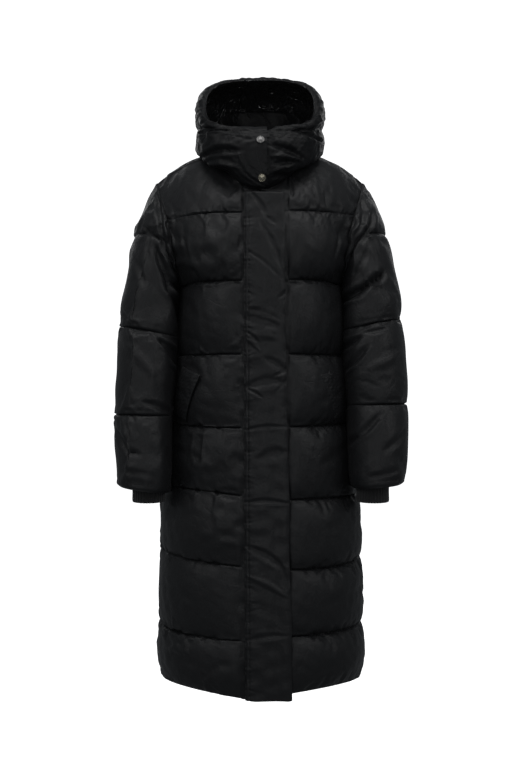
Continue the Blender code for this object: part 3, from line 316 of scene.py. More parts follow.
# ---------------------------------------------------------------- numbers and curves
def hermite(p0: Array, p1: Array, m0: Array, m1: Array, t: Array) -> Array:
    """Cubic from p0 to p1 that leaves along m0 and arrives along m1."""
    low = p0 * (1 + 2 * t) * (1 - t) ** 2 + m0 * t * (1 - t) ** 2
    return low + p1 * t * t * (3 - 2 * t) - m1 * t * t * (1 - t)


def spline(xs: list, ys: list, x: Array) -> Array:
    """Smooth curve through the rows of ys at xs, with no overshoot between them.

    Args:
        xs: places along the curve.
        ys: values at those places.
        x: places asked for.

    Returns:
        The curve's values.
    """
    xs, ys = np.asarray(xs, float), np.asarray(ys, float)
    x = np.clip(np.asarray(x, float), xs.min(), xs.max())
    if xs[0] > xs[-1]:
        xs, ys = xs[::-1], ys[::-1]
    step = np.diff(xs)
    slope = np.diff(ys, axis=0) / step.reshape((-1,) + (1,) * (ys.ndim - 1))
    both = slope[:-1] * slope[1:] > 0
    safe = np.where(both, slope[:-1] + slope[1:], 1.0)
    inner = np.where(both, 2.0 * slope[:-1] * slope[1:] / safe, 0.0)
    tangent = np.concatenate([slope[:1], inner, slope[-1:]])
    k = np.clip(np.searchsorted(xs, x, side="right") - 1, 0, len(xs) - 2)
    h, t = step[k], (x - xs[k]) / step[k]
    if ys.ndim > 1:
        h, t = h[..., None], t[..., None]
    return hermite(ys[k], ys[k + 1], tangent[k] * h, tangent[k + 1] * h, t)


def column(table: tuple, number: int) -> list:
    """One column of a table of sizes."""
    return [row[number] for row in table]


def unit(vectors: Array) -> Array:
    """The vectors at length one."""
    return vectors / np.maximum(np.linalg.norm(vectors, axis=-1, keepdims=True), 1e-12)


def power(value: Array, exponent: float) -> Array:
    """A power that keeps the sign."""
    return np.sign(value) * np.abs(value) ** exponent


def smooth(value: Array) -> Array:
    """Soft step from 0 to 1."""
    t = np.clip(value, 0.0, 1.0)
    return t * t * (3 - 2 * t)


def pillow(part: Array, exponent: float = 0.55) -> Array:
    """Swelling of padding between two seams: 0 on both, 1 half way."""
    return np.clip(4.0 * part * (1.0 - part), 0.0, 1.0) ** exponent


def bell(value: Array, width: float) -> Array:
    """Soft bump of height one round zero."""
    return np.exp(-((value / width) ** 2))


def lengths_along(path: Array) -> Array:
    """Way from the first point of a path to each of its points."""
    return np.concatenate([[0.0], np.cumsum(np.linalg.norm(np.diff(path, axis=0), axis=1))])


def look_up(at: Array, stops: Array, vectors: Array) -> Array:
    """Vectors at any place between the given stops."""
    return np.stack([np.interp(at, stops, vectors[:, k]) for k in range(3)], axis=-1)


def round_the_loop(angle: Array, values: tuple) -> Array:
    """Value at an angle, from values given every 45 degrees from 0 to 180."""
    quarter = np.abs((np.degrees(angle) + 180.0) % 360.0 - 180.0)
    return np.interp(quarter, (0, 45, 90, 135, 180), values)


def grid_normals(surface: Callable, rows: Array, cols: Array, flip: float) -> Array:
    """Outward directions of surface(row, col), from its two slopes.

    Args:
        surface: function of row and column.
        rows: rows.
        cols: columns.
        flip: 1 or -1, to face outward.

    Returns:
        Unit directions.
    """
    tiny = 1e-3
    along = surface(rows + tiny, cols) - surface(rows - tiny, cols)
    across = surface(rows, cols + tiny) - surface(rows, cols - tiny)
    return unit(np.cross(across, along)) * flip


def armhole_point(z: Array, back: bool) -> tuple:
    """x and y of the armhole at height z on the wearer's left, in front or behind."""
    first = 3 if back else 1
    return tuple(spline(column(ARMHOLE, 0), column(ARMHOLE, k), z) for k in (first, first + 1))


def section_point(z: Array, share: Array, back: bool, fixed_x: float | None = None) -> Array:
    """Point on the body at height z.

    Args:
        z: height.
        share: 0 at the middle, 1 at the side or armhole.
        back: True behind, False in front.
        fixed_x: x where the shares start.

    Returns:
        Points.
    """
    half, front, rear = (spline(column(BODY, 0), column(BODY, k), z) for k in (1, 2, 3))
    end_x, end_y = armhole_point(np.maximum(z, ARMHOLE[0][0]), back)
    above = z > ARMHOLE[0][0]
    end_x = np.where(above, end_x, half)
    end_y = np.where(above, end_y, SIDE_Y)
    way = 1.0 if back else -1.0
    reach = (rear if back else front) - way * SIDE_Y
    last = np.arccos(np.clip((end_y - SIDE_Y) * way / reach, 0.0, 0.98) ** (1.0 / ROUNDNESS))
    wide = end_x / np.sin(last) ** ROUNDNESS
    angle = share * last
    if fixed_x is not None:
        base = np.arcsin(np.clip(fixed_x / wide, 0.0, 1.0) ** (1.0 / ROUNDNESS))
        angle = base + (last - base) * share
    x = wide * np.sin(angle) ** ROUNDNESS
    y = SIDE_Y + way * reach * np.clip(np.cos(angle), 0.0, 1.0) ** ROUNDNESS
    return np.stack([x, y, z + 0.0 * x], axis=-1)


def neck_point(angle: Array) -> Array:
    """Point of the neckline.

    Args:
        angle: 0 in front, 90 degrees at the high point, in radians.

    Returns:
        Points.
    """
    c = np.cos(angle)
    z = NECK_Z[0] + NECK_Z[1] * c + NECK_Z[2] * c * c
    return np.stack([NECK_HALF_WIDTH * np.sin(angle), NECK_CENTRE_Y - NECK_DEPTH * c, z], axis=-1)


def top_point(share: Array, back: bool, fixed_x: float | None) -> Array:
    """Top edge of a panel: neckline for shares up to a half, then the shoulder seam.

    Args:
        share: share of the way, 0 to 1.
        back: True behind, False in front.
        fixed_x: x where the shares start.

    Returns:
        Points.
    """
    start = math.asin((fixed_x or 0.0) / NECK_HALF_WIDTH)
    sweep = start + (math.pi / 2 - start) * np.clip(share * 2.0, 0.0, 1.0)
    high = neck_point(np.asarray(math.pi / 2))
    along = np.clip(share * 2.0 - 1.0, 0.0, 1.0)[..., None]
    bow = np.array([0.0, 0.0, SHOULDER_BOW]) * 4.0 * along * (1.0 - along)
    edge = neck_point(math.pi - sweep if back else sweep)
    return edge + along * (np.asarray(SHOULDER_TIP) - high) + bow


def line_height(row: Array, share: Array, side: int, back: bool) -> Array:
    """Height of a row; whole rows are the hem and the quilting lines.

    Args:
        row: row number, whole on a sewn line.
        share: share of the way, 0 to 1.
        side: -1 right, +1 left.
        back: True behind, False in front.

    Returns:
        Heights.
    """
    first = 1 if side < 0 else 4
    edge, flank, arch, other = (
        np.interp(row, np.arange(len(LINES)), column(LINES, k))
        for k in (first, first + 1, first + 2, 6 - first)
    )
    if back:
        return (flank + other) / 2 + (flank - other) / 2 * share
    return edge + (flank - edge) * share ** 1.2 + arch * 4.0 * share * (1.0 - share)


def panel_point(
    row: Array, share: Array, side: int, back: bool, fixed_x: float | None = None,
) -> Array:
    """Sewing level of a body panel; above line 1 a curve turns over the shoulder.

    Args:
        row: row number, whole on a sewn line.
        share: share of the way, 0 to 1.
        side: -1 the wearer's right, +1 the left.
        back: True behind, False in front.
        fixed_x: x where the shares start.

    Returns:
        Points.
    """
    row = np.asarray(row, float) + 0.0 * share
    share = np.clip(np.asarray(share, float) + 0.0 * row, 0.0, 1.0)
    rise = np.clip(row - (TOP_ROW - 1), 0.0, 1.0)
    turn = rise * math.pi / 2
    spots = []
    for part in (share, np.ones_like(share)):
        z = line_height(np.minimum(row, TOP_ROW - 1), part, side, back)
        point = section_point(z, part, back, fixed_x)
        bulge = YOKE_BULGE[0] + (YOKE_BULGE[1] - YOKE_BULGE[0]) * part
        flat = (1.0 - bulge) * rise + bulge * (1.0 - np.cos(turn))
        lift = (1.0 - bulge) * rise + bulge * np.sin(turn)
        way = np.stack([flat, flat, lift], axis=-1)
        spots.append(point + (top_point(part, back, fixed_x) - point) * way)
    moved, end = spots
    near = np.where(rise > 0.0, share ** 3, 0.0)
    for axis, hole in enumerate(armhole_point(end[..., 2], back)):
        moved[..., axis] += (hole - end[..., axis]) * near
    moved[..., 0] *= side
    return moved


def swell(row: Array) -> Array:
    """Height of a body channel: 0 on the sewn lines, 1 at its crown."""
    return pillow(np.where(row >= TOP_ROW, 0.0, row - np.floor(row)))


def body_crown(row: Array, share: Array) -> Array:
    """Swelling of the body by row and by share of the way to the side.

    Args:
        row: row number, whole on a sewn line.
        share: share of the way, 0 to 1.

    Returns:
        Heights in metres.
    """
    flank = smooth((share - 0.35) / 0.65)
    below_arm = smooth((row - 2.4) / 0.8) * (1.0 - smooth((row - 5.7) / 0.3))
    side = BODY_SIDE_CROWN + (UNDER_ARM_CROWN - BODY_SIDE_CROWN) * below_arm
    side = side * (1.0 - smooth((row - 5.6) / 0.3))
    middle = BODY_CROWN + (YOKE_CROWN - BODY_CROWN) * smooth(row - 6.3)
    below_hood = smooth((row - 7.15) / 0.45) * (1.0 - smooth((share - 0.45) / 0.35))
    middle = middle * (1.0 - 0.85 * below_hood)
    seam = 1.0 - smooth((row - 5.8) / 0.2) * smooth((share - 0.75) / 0.25)
    return (middle + (side - middle) * flank) * seam


def sleeve_point(rings: Array, place: Array) -> Array:
    """Points of a sleeve at a place along it, 0 at the armhole and one more each ring.

    Args:
        rings: control rings.
        place: place along the sleeve.

    Returns:
        Points.
    """
    last = len(rings) - 1
    k = np.clip(np.floor(place).astype(int), 0, last - 1)
    index = np.broadcast_to(np.arange(rings.shape[1]), k.shape)
    before, p0, p1, after = (rings[np.clip(k + step, 0, last), index] for step in (-1, 0, 1, 2))
    start = (p1 - p0) * np.array([1.75, 1.2, 0.65])
    under = np.array([0.034 * np.sign(rings[1, 0, 0]), 0.0, -0.01])
    start = start + (under - start) * smooth((ARMHOLE_LOW - p0[..., 2:3]) / 0.06)
    m0 = np.where(k[..., None] > 0, (p1 - before) / 2, start)
    m1 = np.where(k[..., None] < last - 1, (after - p0) / 2, p1 - p0)
    return hermite(p0, p1, m0, m1, (place - k)[..., None])


def cuff_ring(side: int, table: tuple, turn: Array, stand: Array, z: float) -> Array:
    """Ring of the cuff's shape, centred like the sleeve's end.

    Args:
        side: -1 right, +1 left.
        table: rings of the sleeve.
        turn: angle round the cuff.
        stand: how far outside the cuff's own size.
        z: height.

    Returns:
        Points.
    """
    _, ox, _, ix, _, cy, _ = table[-1]
    x = ((ox + ix) / 2 - CUFF_CENTRE_IN) * side + side * (CUFF_HALF_WIDTH + stand) * np.cos(turn)
    return np.stack([x, cy - (CUFF_HALF_DEPTH + stand) * np.sin(turn), z + 0.0 * x], axis=-1)


def squareness(share: Array, square: float) -> Array:
    """Power of a loop's sine and cosine, 1 at the neck seam."""
    return 1.0 + (square - 1.0) * smooth(np.asarray(share) * 2.5)


def loop_point(table: tuple, share: Array, angle: Array, square: float) -> Array:
    """Point on a tilted loop; angle 0 in front, 90 degrees on the wearer's left.

    Args:
        table: sizes of the loops.
        share: share of the way up, 0 to 1.
        angle: angle from the front, in radians.
        square: power that squares the loop.

    Returns:
        Points.
    """
    sizes = spline(column(table, 0), [row[1:] for row in table], share)
    front_y, front_z, back_y, back_z, half, lift = np.moveaxis(sizes, -1, 0)
    bend = squareness(share, square)
    c = power(np.cos(angle), bend)
    y = (front_y + back_y) / 2 + (front_y - back_y) / 2 * c
    z = (front_z + back_z) / 2 + (front_z - back_z) / 2 * c + lift * (1 - c * c)
    return np.stack([half * power(np.sin(angle), bend), y, z], axis=-1)


def hood_angle(share: Array, x: float, back: bool) -> Array:
    """Angle at which the hood's loop passes a given x.

    Args:
        share: share of the way up, 0 to 1.
        x: the place sideways.
        back: True behind, False in front.

    Returns:
        Angles.
    """
    half = spline(column(HOOD, 0), column(HOOD, 5), share)
    sine = np.clip(abs(x) / half, 0, 1) ** (1.0 / squareness(share, HOOD_SQUARE))
    angle = np.arcsin(sine) * np.sign(x)
    return math.pi - angle if back else angle


def push_clear(points: Array, cover: tuple, clear: float) -> Array:
    """Moves that bring points to at least a given height above a cover.

    Args:
        points: points.
        cover: points below and their directions.
        clear: least height.

    Returns:
        Moves.
    """
    under, ways = cover
    near = np.argmin(((points[..., None, :] - under) ** 2).sum(-1), axis=-1)
    height = ((points - under[near]) * ways[near]).sum(-1)
    return ways[near] * np.maximum(clear - height, 0.0)[..., None]


def neck_edge(neck: tuple, angle: Array) -> tuple:
    """The panels' neckline at any angle.

    Args:
        neck: what BodyShell.neckline gives.
        angle: angle from the front, in radians.

    Returns:
        Points, outward directions and ways beyond the edge.
    """
    turn = (np.asarray(angle) + math.pi) % (2 * math.pi) - math.pi
    point, outward, beyond = (look_up(turn, neck[0], values) for values in neck[1:])
    return point, unit(outward), unit(beyond)


# ---------------------------------------------------------------- fine grids
STEPS = np.linspace(0.0, 1.0, CHANNEL_ROWS + 1)[:-1]
CHANNEL = CROWDING * (0.5 - 0.5 * np.cos(np.pi * STEPS)) + (1.0 - CROWDING) * STEPS
BODY_ROWS = np.concatenate([k + CHANNEL for k in range(TOP_ROW)] + [np.array([float(TOP_ROW)])])
FRONT_SHARES = np.linspace(0.0, 1.0, 73)
BACK_SHARES = np.linspace(0.0, 1.0, 85)
FIRST_HOLE = ARMPIT_ROW * CHANNEL_ROWS


@dataclass
class Grid:
    """A padded piece's sewing level with its directions and swelling."""

    points: Array
    normals: Array
    rise: Array

    def outer(self) -> Array:
        """Outer side of the piece."""
        return self.points + self.normals * (SEWN_RISE + self.rise)[..., None]

    def inner(self) -> Array:
        """Plain inner side of the piece."""
        return self.points - self.normals * INNER_WALL


def row_lengths(points: Array) -> Array:
    """Way along each row of a grid, in metres, from its middle column."""
    way = np.stack([lengths_along(row) for row in points])
    return way - way[:, way.shape[1] // 2][:, None]


def wander(u: Array, v: Array, seed: int, count: int = 7) -> Array:
    """Soft uneven field from a few seeded waves.

    Args:
        u: first coordinate, in waves.
        v: second coordinate, in waves.
        seed: which field.
        count: how many waves.

    Returns:
        Values of about -1 to 1.
    """
    rng = np.random.default_rng(seed)
    total = 0.0 * (u + v)
    for _ in range(count):
        heading = rng.uniform(0, 2 * math.pi)
        pace = rng.uniform(0.6, 1.7) * 2 * math.pi
        way = pace * (np.cos(heading) * u + np.sin(heading) * v)
        total = total + np.sin(way + rng.uniform(0, 6.3))
    return total / math.sqrt(count)


@dataclass(frozen=True)
class Gathers:
    """Small folds that run off a sewn line where its thread draws the cloth in.

    Pitch is their mean distance, reach how far they run; each gets its own share of both
    and of the depth.
    """

    pitch: float
    depth: float
    reach: float
    seed: int

    def field(self, away: Array, along: Array) -> Array:
        """Height of the gathers beside one line.

        Args:
            away: distance from the line, in metres.
            along: way along the line, in metres.

        Returns:
            Heights, mostly troughs below 0.
        """
        rng = np.random.default_rng(self.seed)
        total = np.zeros(np.broadcast(away, along).shape)
        place, end = float(along.min()), float(along.max())
        while place < end:
            place += self.pitch * rng.uniform(0.45, 1.75)
            deep = self.depth * rng.uniform(0.25, 1.0) ** 1.4
            reach = self.reach * rng.uniform(0.35, 1.5)
            half = self.pitch * rng.uniform(0.2, 0.36)
            lean = rng.normal(0.0, 0.28)
            gap = (along - place - lean * away) / (half * (1.0 + away / 0.035))
            near = np.abs(gap) < 3.0
            if near.any():
                fade = np.exp(-np.clip(away, 0, None) / reach) * smooth(away / 0.004)
                relief = 0.45 * bell(gap - 1.5, 0.8) - bell(gap, 1.0)
                total = total + np.where(near, deep * relief * fade, 0.0)
        return total


@dataclass(frozen=True)
class Fold:
    """One listed fold: a trough (height below 0) or ridge between two places."""

    start_x: float
    start_z: float
    end_x: float
    end_z: float
    half_width: float
    height: float

    def field(self, x: Array, z: Array) -> Array:
        """Height of the fold over a surface seen from the front or behind.

        Args:
            x: sideways places.
            z: heights.

        Returns:
            Heights along the surface's direction.
        """
        dx, dz = self.end_x - self.start_x, self.end_z - self.start_z
        size = math.hypot(dx, dz)
        way = ((x - self.start_x) * dx + (z - self.start_z) * dz) / size
        off = ((x - self.start_x) * dz - (z - self.start_z) * dx) / size
        off = np.abs(off + FOLD_BOW * size * np.sin(math.pi * np.clip(way / size, 0, 1)))
        width = self.half_width * (0.55 + 0.45 * np.sin(math.pi * np.clip(way / size, 0.02, 0.98)))
        fade = 0.45 * size
        ends = smooth((way + 0.25 * size) / fade) * smooth((1.2 * size - way) / fade)
        core = np.exp(-(off / width) ** 1.6)
        bank = np.exp(-((off / width - 1.8) ** 2) / 0.6)
        return self.height * ends * (core - FOLD_BANK * bank)


def folds_height(table: tuple, points: Array, normals: Array, behind: bool = False) -> Array:
    """All folds of a table over a grid, on the side that faces front or back.

    Args:
        table: folds in millimetres.
        points: grid of points.
        normals: its outward directions.
        behind: True for the side that faces +Y.

    Returns:
        Heights.
    """
    way = 1.0 if behind else -1.0
    faces = smooth((normals[..., 1] * way + 0.15) / 0.45)
    folds = [Fold(*(0.001 * value for value in row)) for row in table]
    return sum(fold.field(points[..., 0], points[..., 2]) for fold in folds) * faces


# ---------------------------------------------------------------- cloth
@dataclass(frozen=True)
class Settling:
    """Blender's cloth on a padded outer side, whose sewn lines and edges are held."""

    pressure: float = 3.0
    spare: float = 0.035
    cap: float = 0.0065
    frames: int = 16

    def run(self, name: str, points: Array, held: Array, ring: bool) -> Array:
        """Settles every other point of a grid and spreads the moves over all of it.

        Args:
            name: name for the working piece.
            points: grid of points, with an odd number of rows.
            held: True where a point stays, same grid.
            ring: True where the last column joins the first.

        Returns:
            Moves of the whole grid.
        """
        coarse = points[::2, ::2]
        work = make_piece(name + "_work", coarse, grid_faces(*coarse.shape[:2], ring), [])
        group = work.vertex_groups.new(name="held")
        group.add(np.flatnonzero(held[::2, ::2].ravel()).tolist(), 1.0, "REPLACE")
        cloth = work.modifiers.new("cloth", "CLOTH")
        for setting, value in CLOTH_SETTINGS.items():
            setattr(cloth.settings, setting, value)
        cloth.settings.uniform_pressure_force = self.pressure
        cloth.settings.shrink_min = -self.spare
        cloth.settings.effector_weights.gravity = 0.0
        cloth.collision_settings.use_collision = False
        cloth.collision_settings.use_self_collision = False
        cloth.point_cache.frame_start = 1
        cloth.point_cache.frame_end = self.frames
        for step in range(1, self.frames + 1):
            bpy.context.scene.frame_set(step)
        settled = work.evaluated_get(bpy.context.evaluated_depsgraph_get())
        moves = mesh_points(settled.to_mesh()).reshape(coarse.shape) - coarse
        settled.to_mesh_clear()
        bpy.data.objects.remove(work, do_unlink=True)
        bpy.context.scene.frame_set(1)
        size = np.linalg.norm(moves, axis=-1, keepdims=True)
        moves = moves * (self.cap * np.tanh(size / self.cap) / np.maximum(size, 1e-9))
        return doubled(doubled(moves, 0, False, points.shape[0]), 1, ring, points.shape[1])


def doubled(values: Array, axis: int, ring: bool, size: int) -> Array:
    """Twice as fine a grid of values, smooth between the given ones.

    Args:
        values: grid of vectors.
        axis: which way to refine.
        ring: True where the values close on themselves.
        size: number of values wanted.

    Returns:
        The finer grid.
    """
    v = np.moveaxis(values, axis, 0)
    at = np.arange(size)
    last = len(v) - 1
    near = [
        v[(at // 2 + k) % len(v) if ring else np.clip(at // 2 + k, 0, last)] for k in (-1, 0, 1, 2)
    ]
    middle = (9 * (near[1] + near[2]) - near[0] - near[3]) / 16
    given = (at % 2 == 0).reshape((-1,) + (1,) * (v.ndim - 1))
    return np.moveaxis(np.where(given, near[1], middle), 0, axis)


# ---------------------------------------------------------------- meshes
def mesh_points(mesh: bpy.types.Mesh) -> Array:
    """A mesh's points.

    Args:
        mesh: the mesh.

    Returns:
        One row for each point.
    """
    found = np.zeros(len(mesh.vertices) * 3)
    mesh.vertices.foreach_get("co", found)
    return found.reshape(-1, 3)


def grid_faces(rows: int, cols: int, ring: bool, closed: bool = False) -> list:
    """Quads of a grid of points, row by row.

    Args:
        rows: number of rows.
        cols: number of columns.
        ring: True where the last column joins the first.
        closed: True where the last row joins the first.

    Returns:
        Faces as index lists.
    """
    r = np.arange(rows if closed else rows - 1)[:, None] * cols
    s = (r + cols) % (rows * cols)
    c = np.arange(cols if ring else cols - 1)[None, :]
    d = (c + 1) % cols
    return np.stack([r + c, r + d, s + d, s + c], axis=-1).reshape(-1, 4).tolist()


def make_piece(
    name: str, points: Array, faces: list, finishes: list, kinds: Array | None = None,
) -> bpy.types.Object:
    """One smooth mesh object with its materials.

    Args:
        name: name of the piece.
        points: its points.
        faces: its faces.
        finishes: its materials.
        kinds: which material each face has.

    Returns:
        The object.
    """
    mesh = bpy.data.meshes.new(name)
    mesh.from_pydata(np.asarray(points).reshape(-1, 3).tolist(), [], faces)
    for finish in finishes:
        mesh.materials.append(finish)
    if kinds is not None:
        mesh.polygons.foreach_set("material_index", np.asarray(kinds, dtype=np.int32))
    mesh.shade_smooth()
    mesh.set_sharp_from_angle(angle=math.radians(62))
    mesh.update()
    piece = bpy.data.objects.new(name, mesh)
    bpy.context.scene.collection.objects.link(piece)
    return piece


def dress(piece: bpy.types.Object, slot: str, *nodes: str) -> None:
    """Puts a piece on the frame.

    Args:
        piece: the object.
        slot: name of a material slot; not used.
        nodes: solids that it stands for.
    """
    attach(piece, "root")
    if nodes:
        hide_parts(*nodes)
    log.info("%s: %d faces", piece.name, len(piece.data.polygons))


@dataclass
class Wall:
    """Closed wall between two grids, with rounded ends; its inner side has the last finish."""

    name: str
    node: str
    outer: Array
    inner: Array
    ring: bool = False
    roll: float = 0.5

    def build(self, finishes: list, slot: str = "shell_cloth") -> bpy.types.Object:
        """Makes the wall, which stands for its node.

        Args:
            finishes: materials, outer side first.
            slot: name of a material slot, handed to dress, which does not use it.

        Returns:
            The object.
        """
        outer, inner = self.outer, self.inner
        rows, cols = outer.shape[:2]
        ends = []
        for end, next_row in ((-1, -2), (0, 1)):
            thick = np.linalg.norm(outer[end] - inner[end], axis=-1, keepdims=True)
            rounded = unit(outer[end] - outer[next_row]) * thick * self.roll * 0.5
            ends.append(((outer[end] + inner[end]) / 2 + rounded)[None])
        loop = np.concatenate([ends[1], outer, ends[0], inner[::-1]])
        count = len(loop)
        faces = grid_faces(count, cols, self.ring, True)
        kinds = np.repeat((np.arange(count) > rows).astype(int), cols if self.ring else cols - 1)
        if not self.ring:
            for end, turned in ((0, True), (cols - 1, False)):
                chain = [k * cols + end for k in range(count)]
                caps = [[chain[k], chain[k + 1], chain[-k - 1], chain[-k]] for k in range(1, rows)]
                caps.append([chain[rows], chain[rows + 1], chain[-rows]])
                caps.append([chain[0], chain[1], chain[-1]])
                faces += [face[::-1] if turned else face for face in caps]
            kinds = np.concatenate([kinds, np.zeros(2 * (rows + 1), int)])
        piece = make_piece(self.name, loop, faces, finishes, np.minimum(kinds, len(finishes) - 1))
        face_outward(piece)
        dress(piece, slot, self.node)
        return piece


def face_outward(piece: bpy.types.Object) -> None:
    """Turns a closed piece's faces outward.

    Args:
        piece: the object.
    """
    mesh = piece.data
    mesh.calc_loop_triangles()
    index = np.zeros(len(mesh.loop_triangles) * 3, dtype=np.int64)
    mesh.loop_triangles.foreach_get("vertices", index)
    t = mesh_points(mesh)[index.reshape(-1, 3)]
    if (t[:, 0] * np.cross(t[:, 1], t[:, 2])).sum() < 0:
        mesh.flip_normals()


@dataclass
class ThreadWork:
    """All stitches of one piece, small lozenges joined as one mesh."""

    name: str
    length: float = 0.0026
    pitch: float = 0.0036
    radius: float = 0.00042
    sink: float = 0.45
    points: list = field(default_factory=list)
    faces: list = field(default_factory=list)

    def add(self, path: Array, normals: Array) -> None:
        """Adds one row of stitches.

        Args:
            path: points of the row.
            normals: the cloth's direction at each.
        """
        way = lengths_along(path)
        count = int(way[-1] // self.pitch)
        if count < 2:
            return
        at = (np.arange(count) + 0.5) * self.pitch
        middle = look_up(at, way, path)
        out = unit(look_up(at, way, normals))
        along = unit(look_up(at + 1e-3, way, path) - look_up(at - 1e-3, way, path))
        across = np.cross(out, along)
        shape = []
        for place, size in ((-0.5, 0.35), (-0.25, 1.0), (0.25, 1.0), (0.5, 0.35)):
            for turn in (0.0, 0.5 * math.pi, math.pi, 1.5 * math.pi):
                up = out * self.radius * (size * math.sin(turn) + 1.0 - 2 * self.sink)
                shape.append(middle + along * self.length * place
                             + across * self.radius * size * math.cos(turn) + up)
        first = sum(len(row) for row in self.points)
        lozenge = grid_faces(4, 4, True) + [[3, 2, 1, 0], [12, 13, 14, 15]]
        self.faces += [[first + 16 * n + q for q in quad] for n in range(count) for quad in lozenge]
        self.points.append(np.stack(shape, axis=1).reshape(-1, 3))

    def build(self, finish: bpy.types.Material) -> None:
        """Makes the mesh."""
        piece = make_piece(self.name, np.concatenate(self.points), self.faces, [finish])
        dress(piece, "shell_cloth")


# ---------------------------------------------------------------- finishes
class Weave(Enum):
    """Which way a cloth's threads show."""

    UPRIGHT = (1.0, 1.0, 0.16)
    EVEN = (1.0, 1.0, 1.0)


class Bench:
    """One material and its nodes while it is made."""

    def __init__(self, name: str, **shader: float) -> None:
        """Starts a material.

        Args:
            name: its name.
            shader: values of the main shader, with _ for a space.
        """
        self.made = bpy.data.materials.new(name)
        self.made.use_nodes = True
        self.shader = self.made.node_tree.nodes["Principled BSDF"]
        sockets = {socket.replace("_", " "): value for socket, value in shader.items()}
        self.fill(self.shader, sockets)
        self.where = self.node("TexCoord", "Object", {})

    def fill(self, node: bpy.types.Node, sockets: dict) -> None:
        """Sets a node's sockets, each to a value or to another node's output.

        Args:
            node: the node.
            sockets: value or output by socket.
        """
        for socket, value in sockets.items():
            if isinstance(value, bpy.types.NodeSocket):
                self.made.node_tree.links.new(value, node.inputs[socket])
            else:
                node.inputs[socket].default_value = value

    def node(self, kind: str, out: str | int, sockets: dict, **traits: str) -> bpy.types.NodeSocket:
        """Adds a node.

        Args:
            kind: its type.
            out: which output is wanted.
            sockets: value or output by socket.
            traits: its own settings.

        Returns:
            The output.
        """
        node = self.made.node_tree.nodes.new("ShaderNode" + kind)
        for trait, value in traits.items():
            setattr(node, trait, value)
        self.fill(node, sockets)
        return node.outputs[out]

    def noise(self, scale: float, detail: float = 2.0, **more: float) -> bpy.types.NodeSocket:
        """Adds an uneven field over the piece."""
        sockets = {"Vector": self.where, "Scale": scale, "Detail": detail, **more}
        return self.node("TexNoise", "Fac", sockets)

    def bump(
        self, height: object, distance: float, strength: float = 1.0, **more: object
    ) -> object:
        """Adds a relief to the surface."""
        sockets = {"Height": height, "Distance": distance, "Strength": strength, **more}
        return self.node("Bump", "Normal", sockets)

    def colour(self, spread: object, stops: tuple, low: tuple, high: tuple) -> None:
        """Gives the surface two shades by an uneven field.

        Args:
            spread: the field.
            stops: where the two shades stand.
            low: first shade.
            high: second shade.
        """
        tint = self.made.node_tree.nodes.new("ShaderNodeValToRGB")
        for stop, at, shade in zip(tint.color_ramp.elements, stops, (low, high)):
            stop.position = at
            stop.color = (*shade, 1.0)
        self.fill(tint, {"Fac": spread})
        self.fill(self.shader, {"Base Color": tint.outputs["Color"]})

    def gloss(self, spread: object, low: float, high: float) -> None:
        """Lets the surface's roughness run between two values."""
        sockets = {"Value": spread, "To Min": low, "To Max": high}
        self.fill(self.shader, {"Roughness": self.node("MapRange", "Result", sockets)})


@dataclass(frozen=True)
class ClothFinish:
    """Black woven cloth: fine streaks, uneven gloss, thin creases and a soft sheen."""

    name: str
    shade: tuple
    roughness: float
    sheen: float
    grain: float
    grain_scale: float
    crumple: float
    shine: float = 0.22
    weave: Weave = Weave.UPRIGHT
    crease: float = 0.00018

    def build(self) -> bpy.types.Material:
        """Makes the material.

        Returns:
            The material.
        """
        bench = Bench(
            self.name, Specular_IOR_Level=self.shine, Sheen_Weight=self.sheen, Sheen_Roughness=0.45
        )
        sockets = {"Vector": bench.where, "Scale": self.weave.value}
        stretch = bench.node("Mapping", "Vector", sockets)
        thread = bench.noise(self.grain_scale, 3.0, Roughness=0.65, Vector=stretch)
        low, high = [0.72 * c for c in self.shade], [1.3 * c for c in self.shade]
        bench.colour(thread, (0.3, 0.72), low, high)
        bench.gloss(bench.noise(9.0, 4.0), self.roughness - 0.07, self.roughness + 0.09)
        relief = bench.bump(thread, self.grain)
        relief = bench.bump(bench.noise(60.0, 5.0, Distortion=0.6), self.crumple, Normal=relief)
        sockets = {0: bench.noise(15.0, 2.0, Distortion=0.9), 1: 0.5}
        path = bench.node("Math", 0, sockets, operation="SUBTRACT")
        near = bench.node("Math", 0, {0: path}, operation="ABSOLUTE")
        sockets = {"Value": near, "From Max": 0.035}
        groove = bench.node("MapRange", "Result", sockets, interpolation_type="SMOOTHSTEP")
        bench.fill(bench.shader, {"Normal": bench.bump(groove, self.crease, 0.8, Normal=relief)})
        return bench.made


@dataclass(frozen=True)
class KnitFinish:
    """Matt black rib knit."""

    name: str
    shade: tuple

    def build(self) -> bpy.types.Material:
        """Makes the material.

        Returns:
            The material.
        """
        bench = Bench(self.name, Roughness=0.9, Sheen_Weight=0.12)
        loops = {"Vector": bench.where, "Scale": 190.0, "Distortion": 3.0, "Detail": 2.0}
        relief = bench.bump(bench.node("TexWave", "Fac", loops, bands_direction="Z"), 0.0005, 0.8)
        low, high = ((*(part * c for c in self.shade), 1.0) for part in (0.6, 1.5))
        tint = bench.node("Mix", 2, {0: bench.noise(900.0), 6: low, 7: high}, data_type="RGBA")
        bench.fill(bench.shader, {"Normal": relief, "Base Color": tint})
        return bench.made


@dataclass(frozen=True)
class MetalFinish:
    """Press stud metal with fine wear."""

    name: str
    shade: tuple
    roughness: float

    def build(self) -> bpy.types.Material:
        """Makes the material.

        Returns:
            The material.
        """
        bench = Bench(self.name, Metallic=1.0)
        wear = bench.noise(420.0, 4.0)
        bench.colour(wear, (0.35, 0.65), [0.55 * c for c in self.shade], self.shade)
        bench.gloss(wear, self.roughness - 0.08, self.roughness + 0.12)
        return bench.made


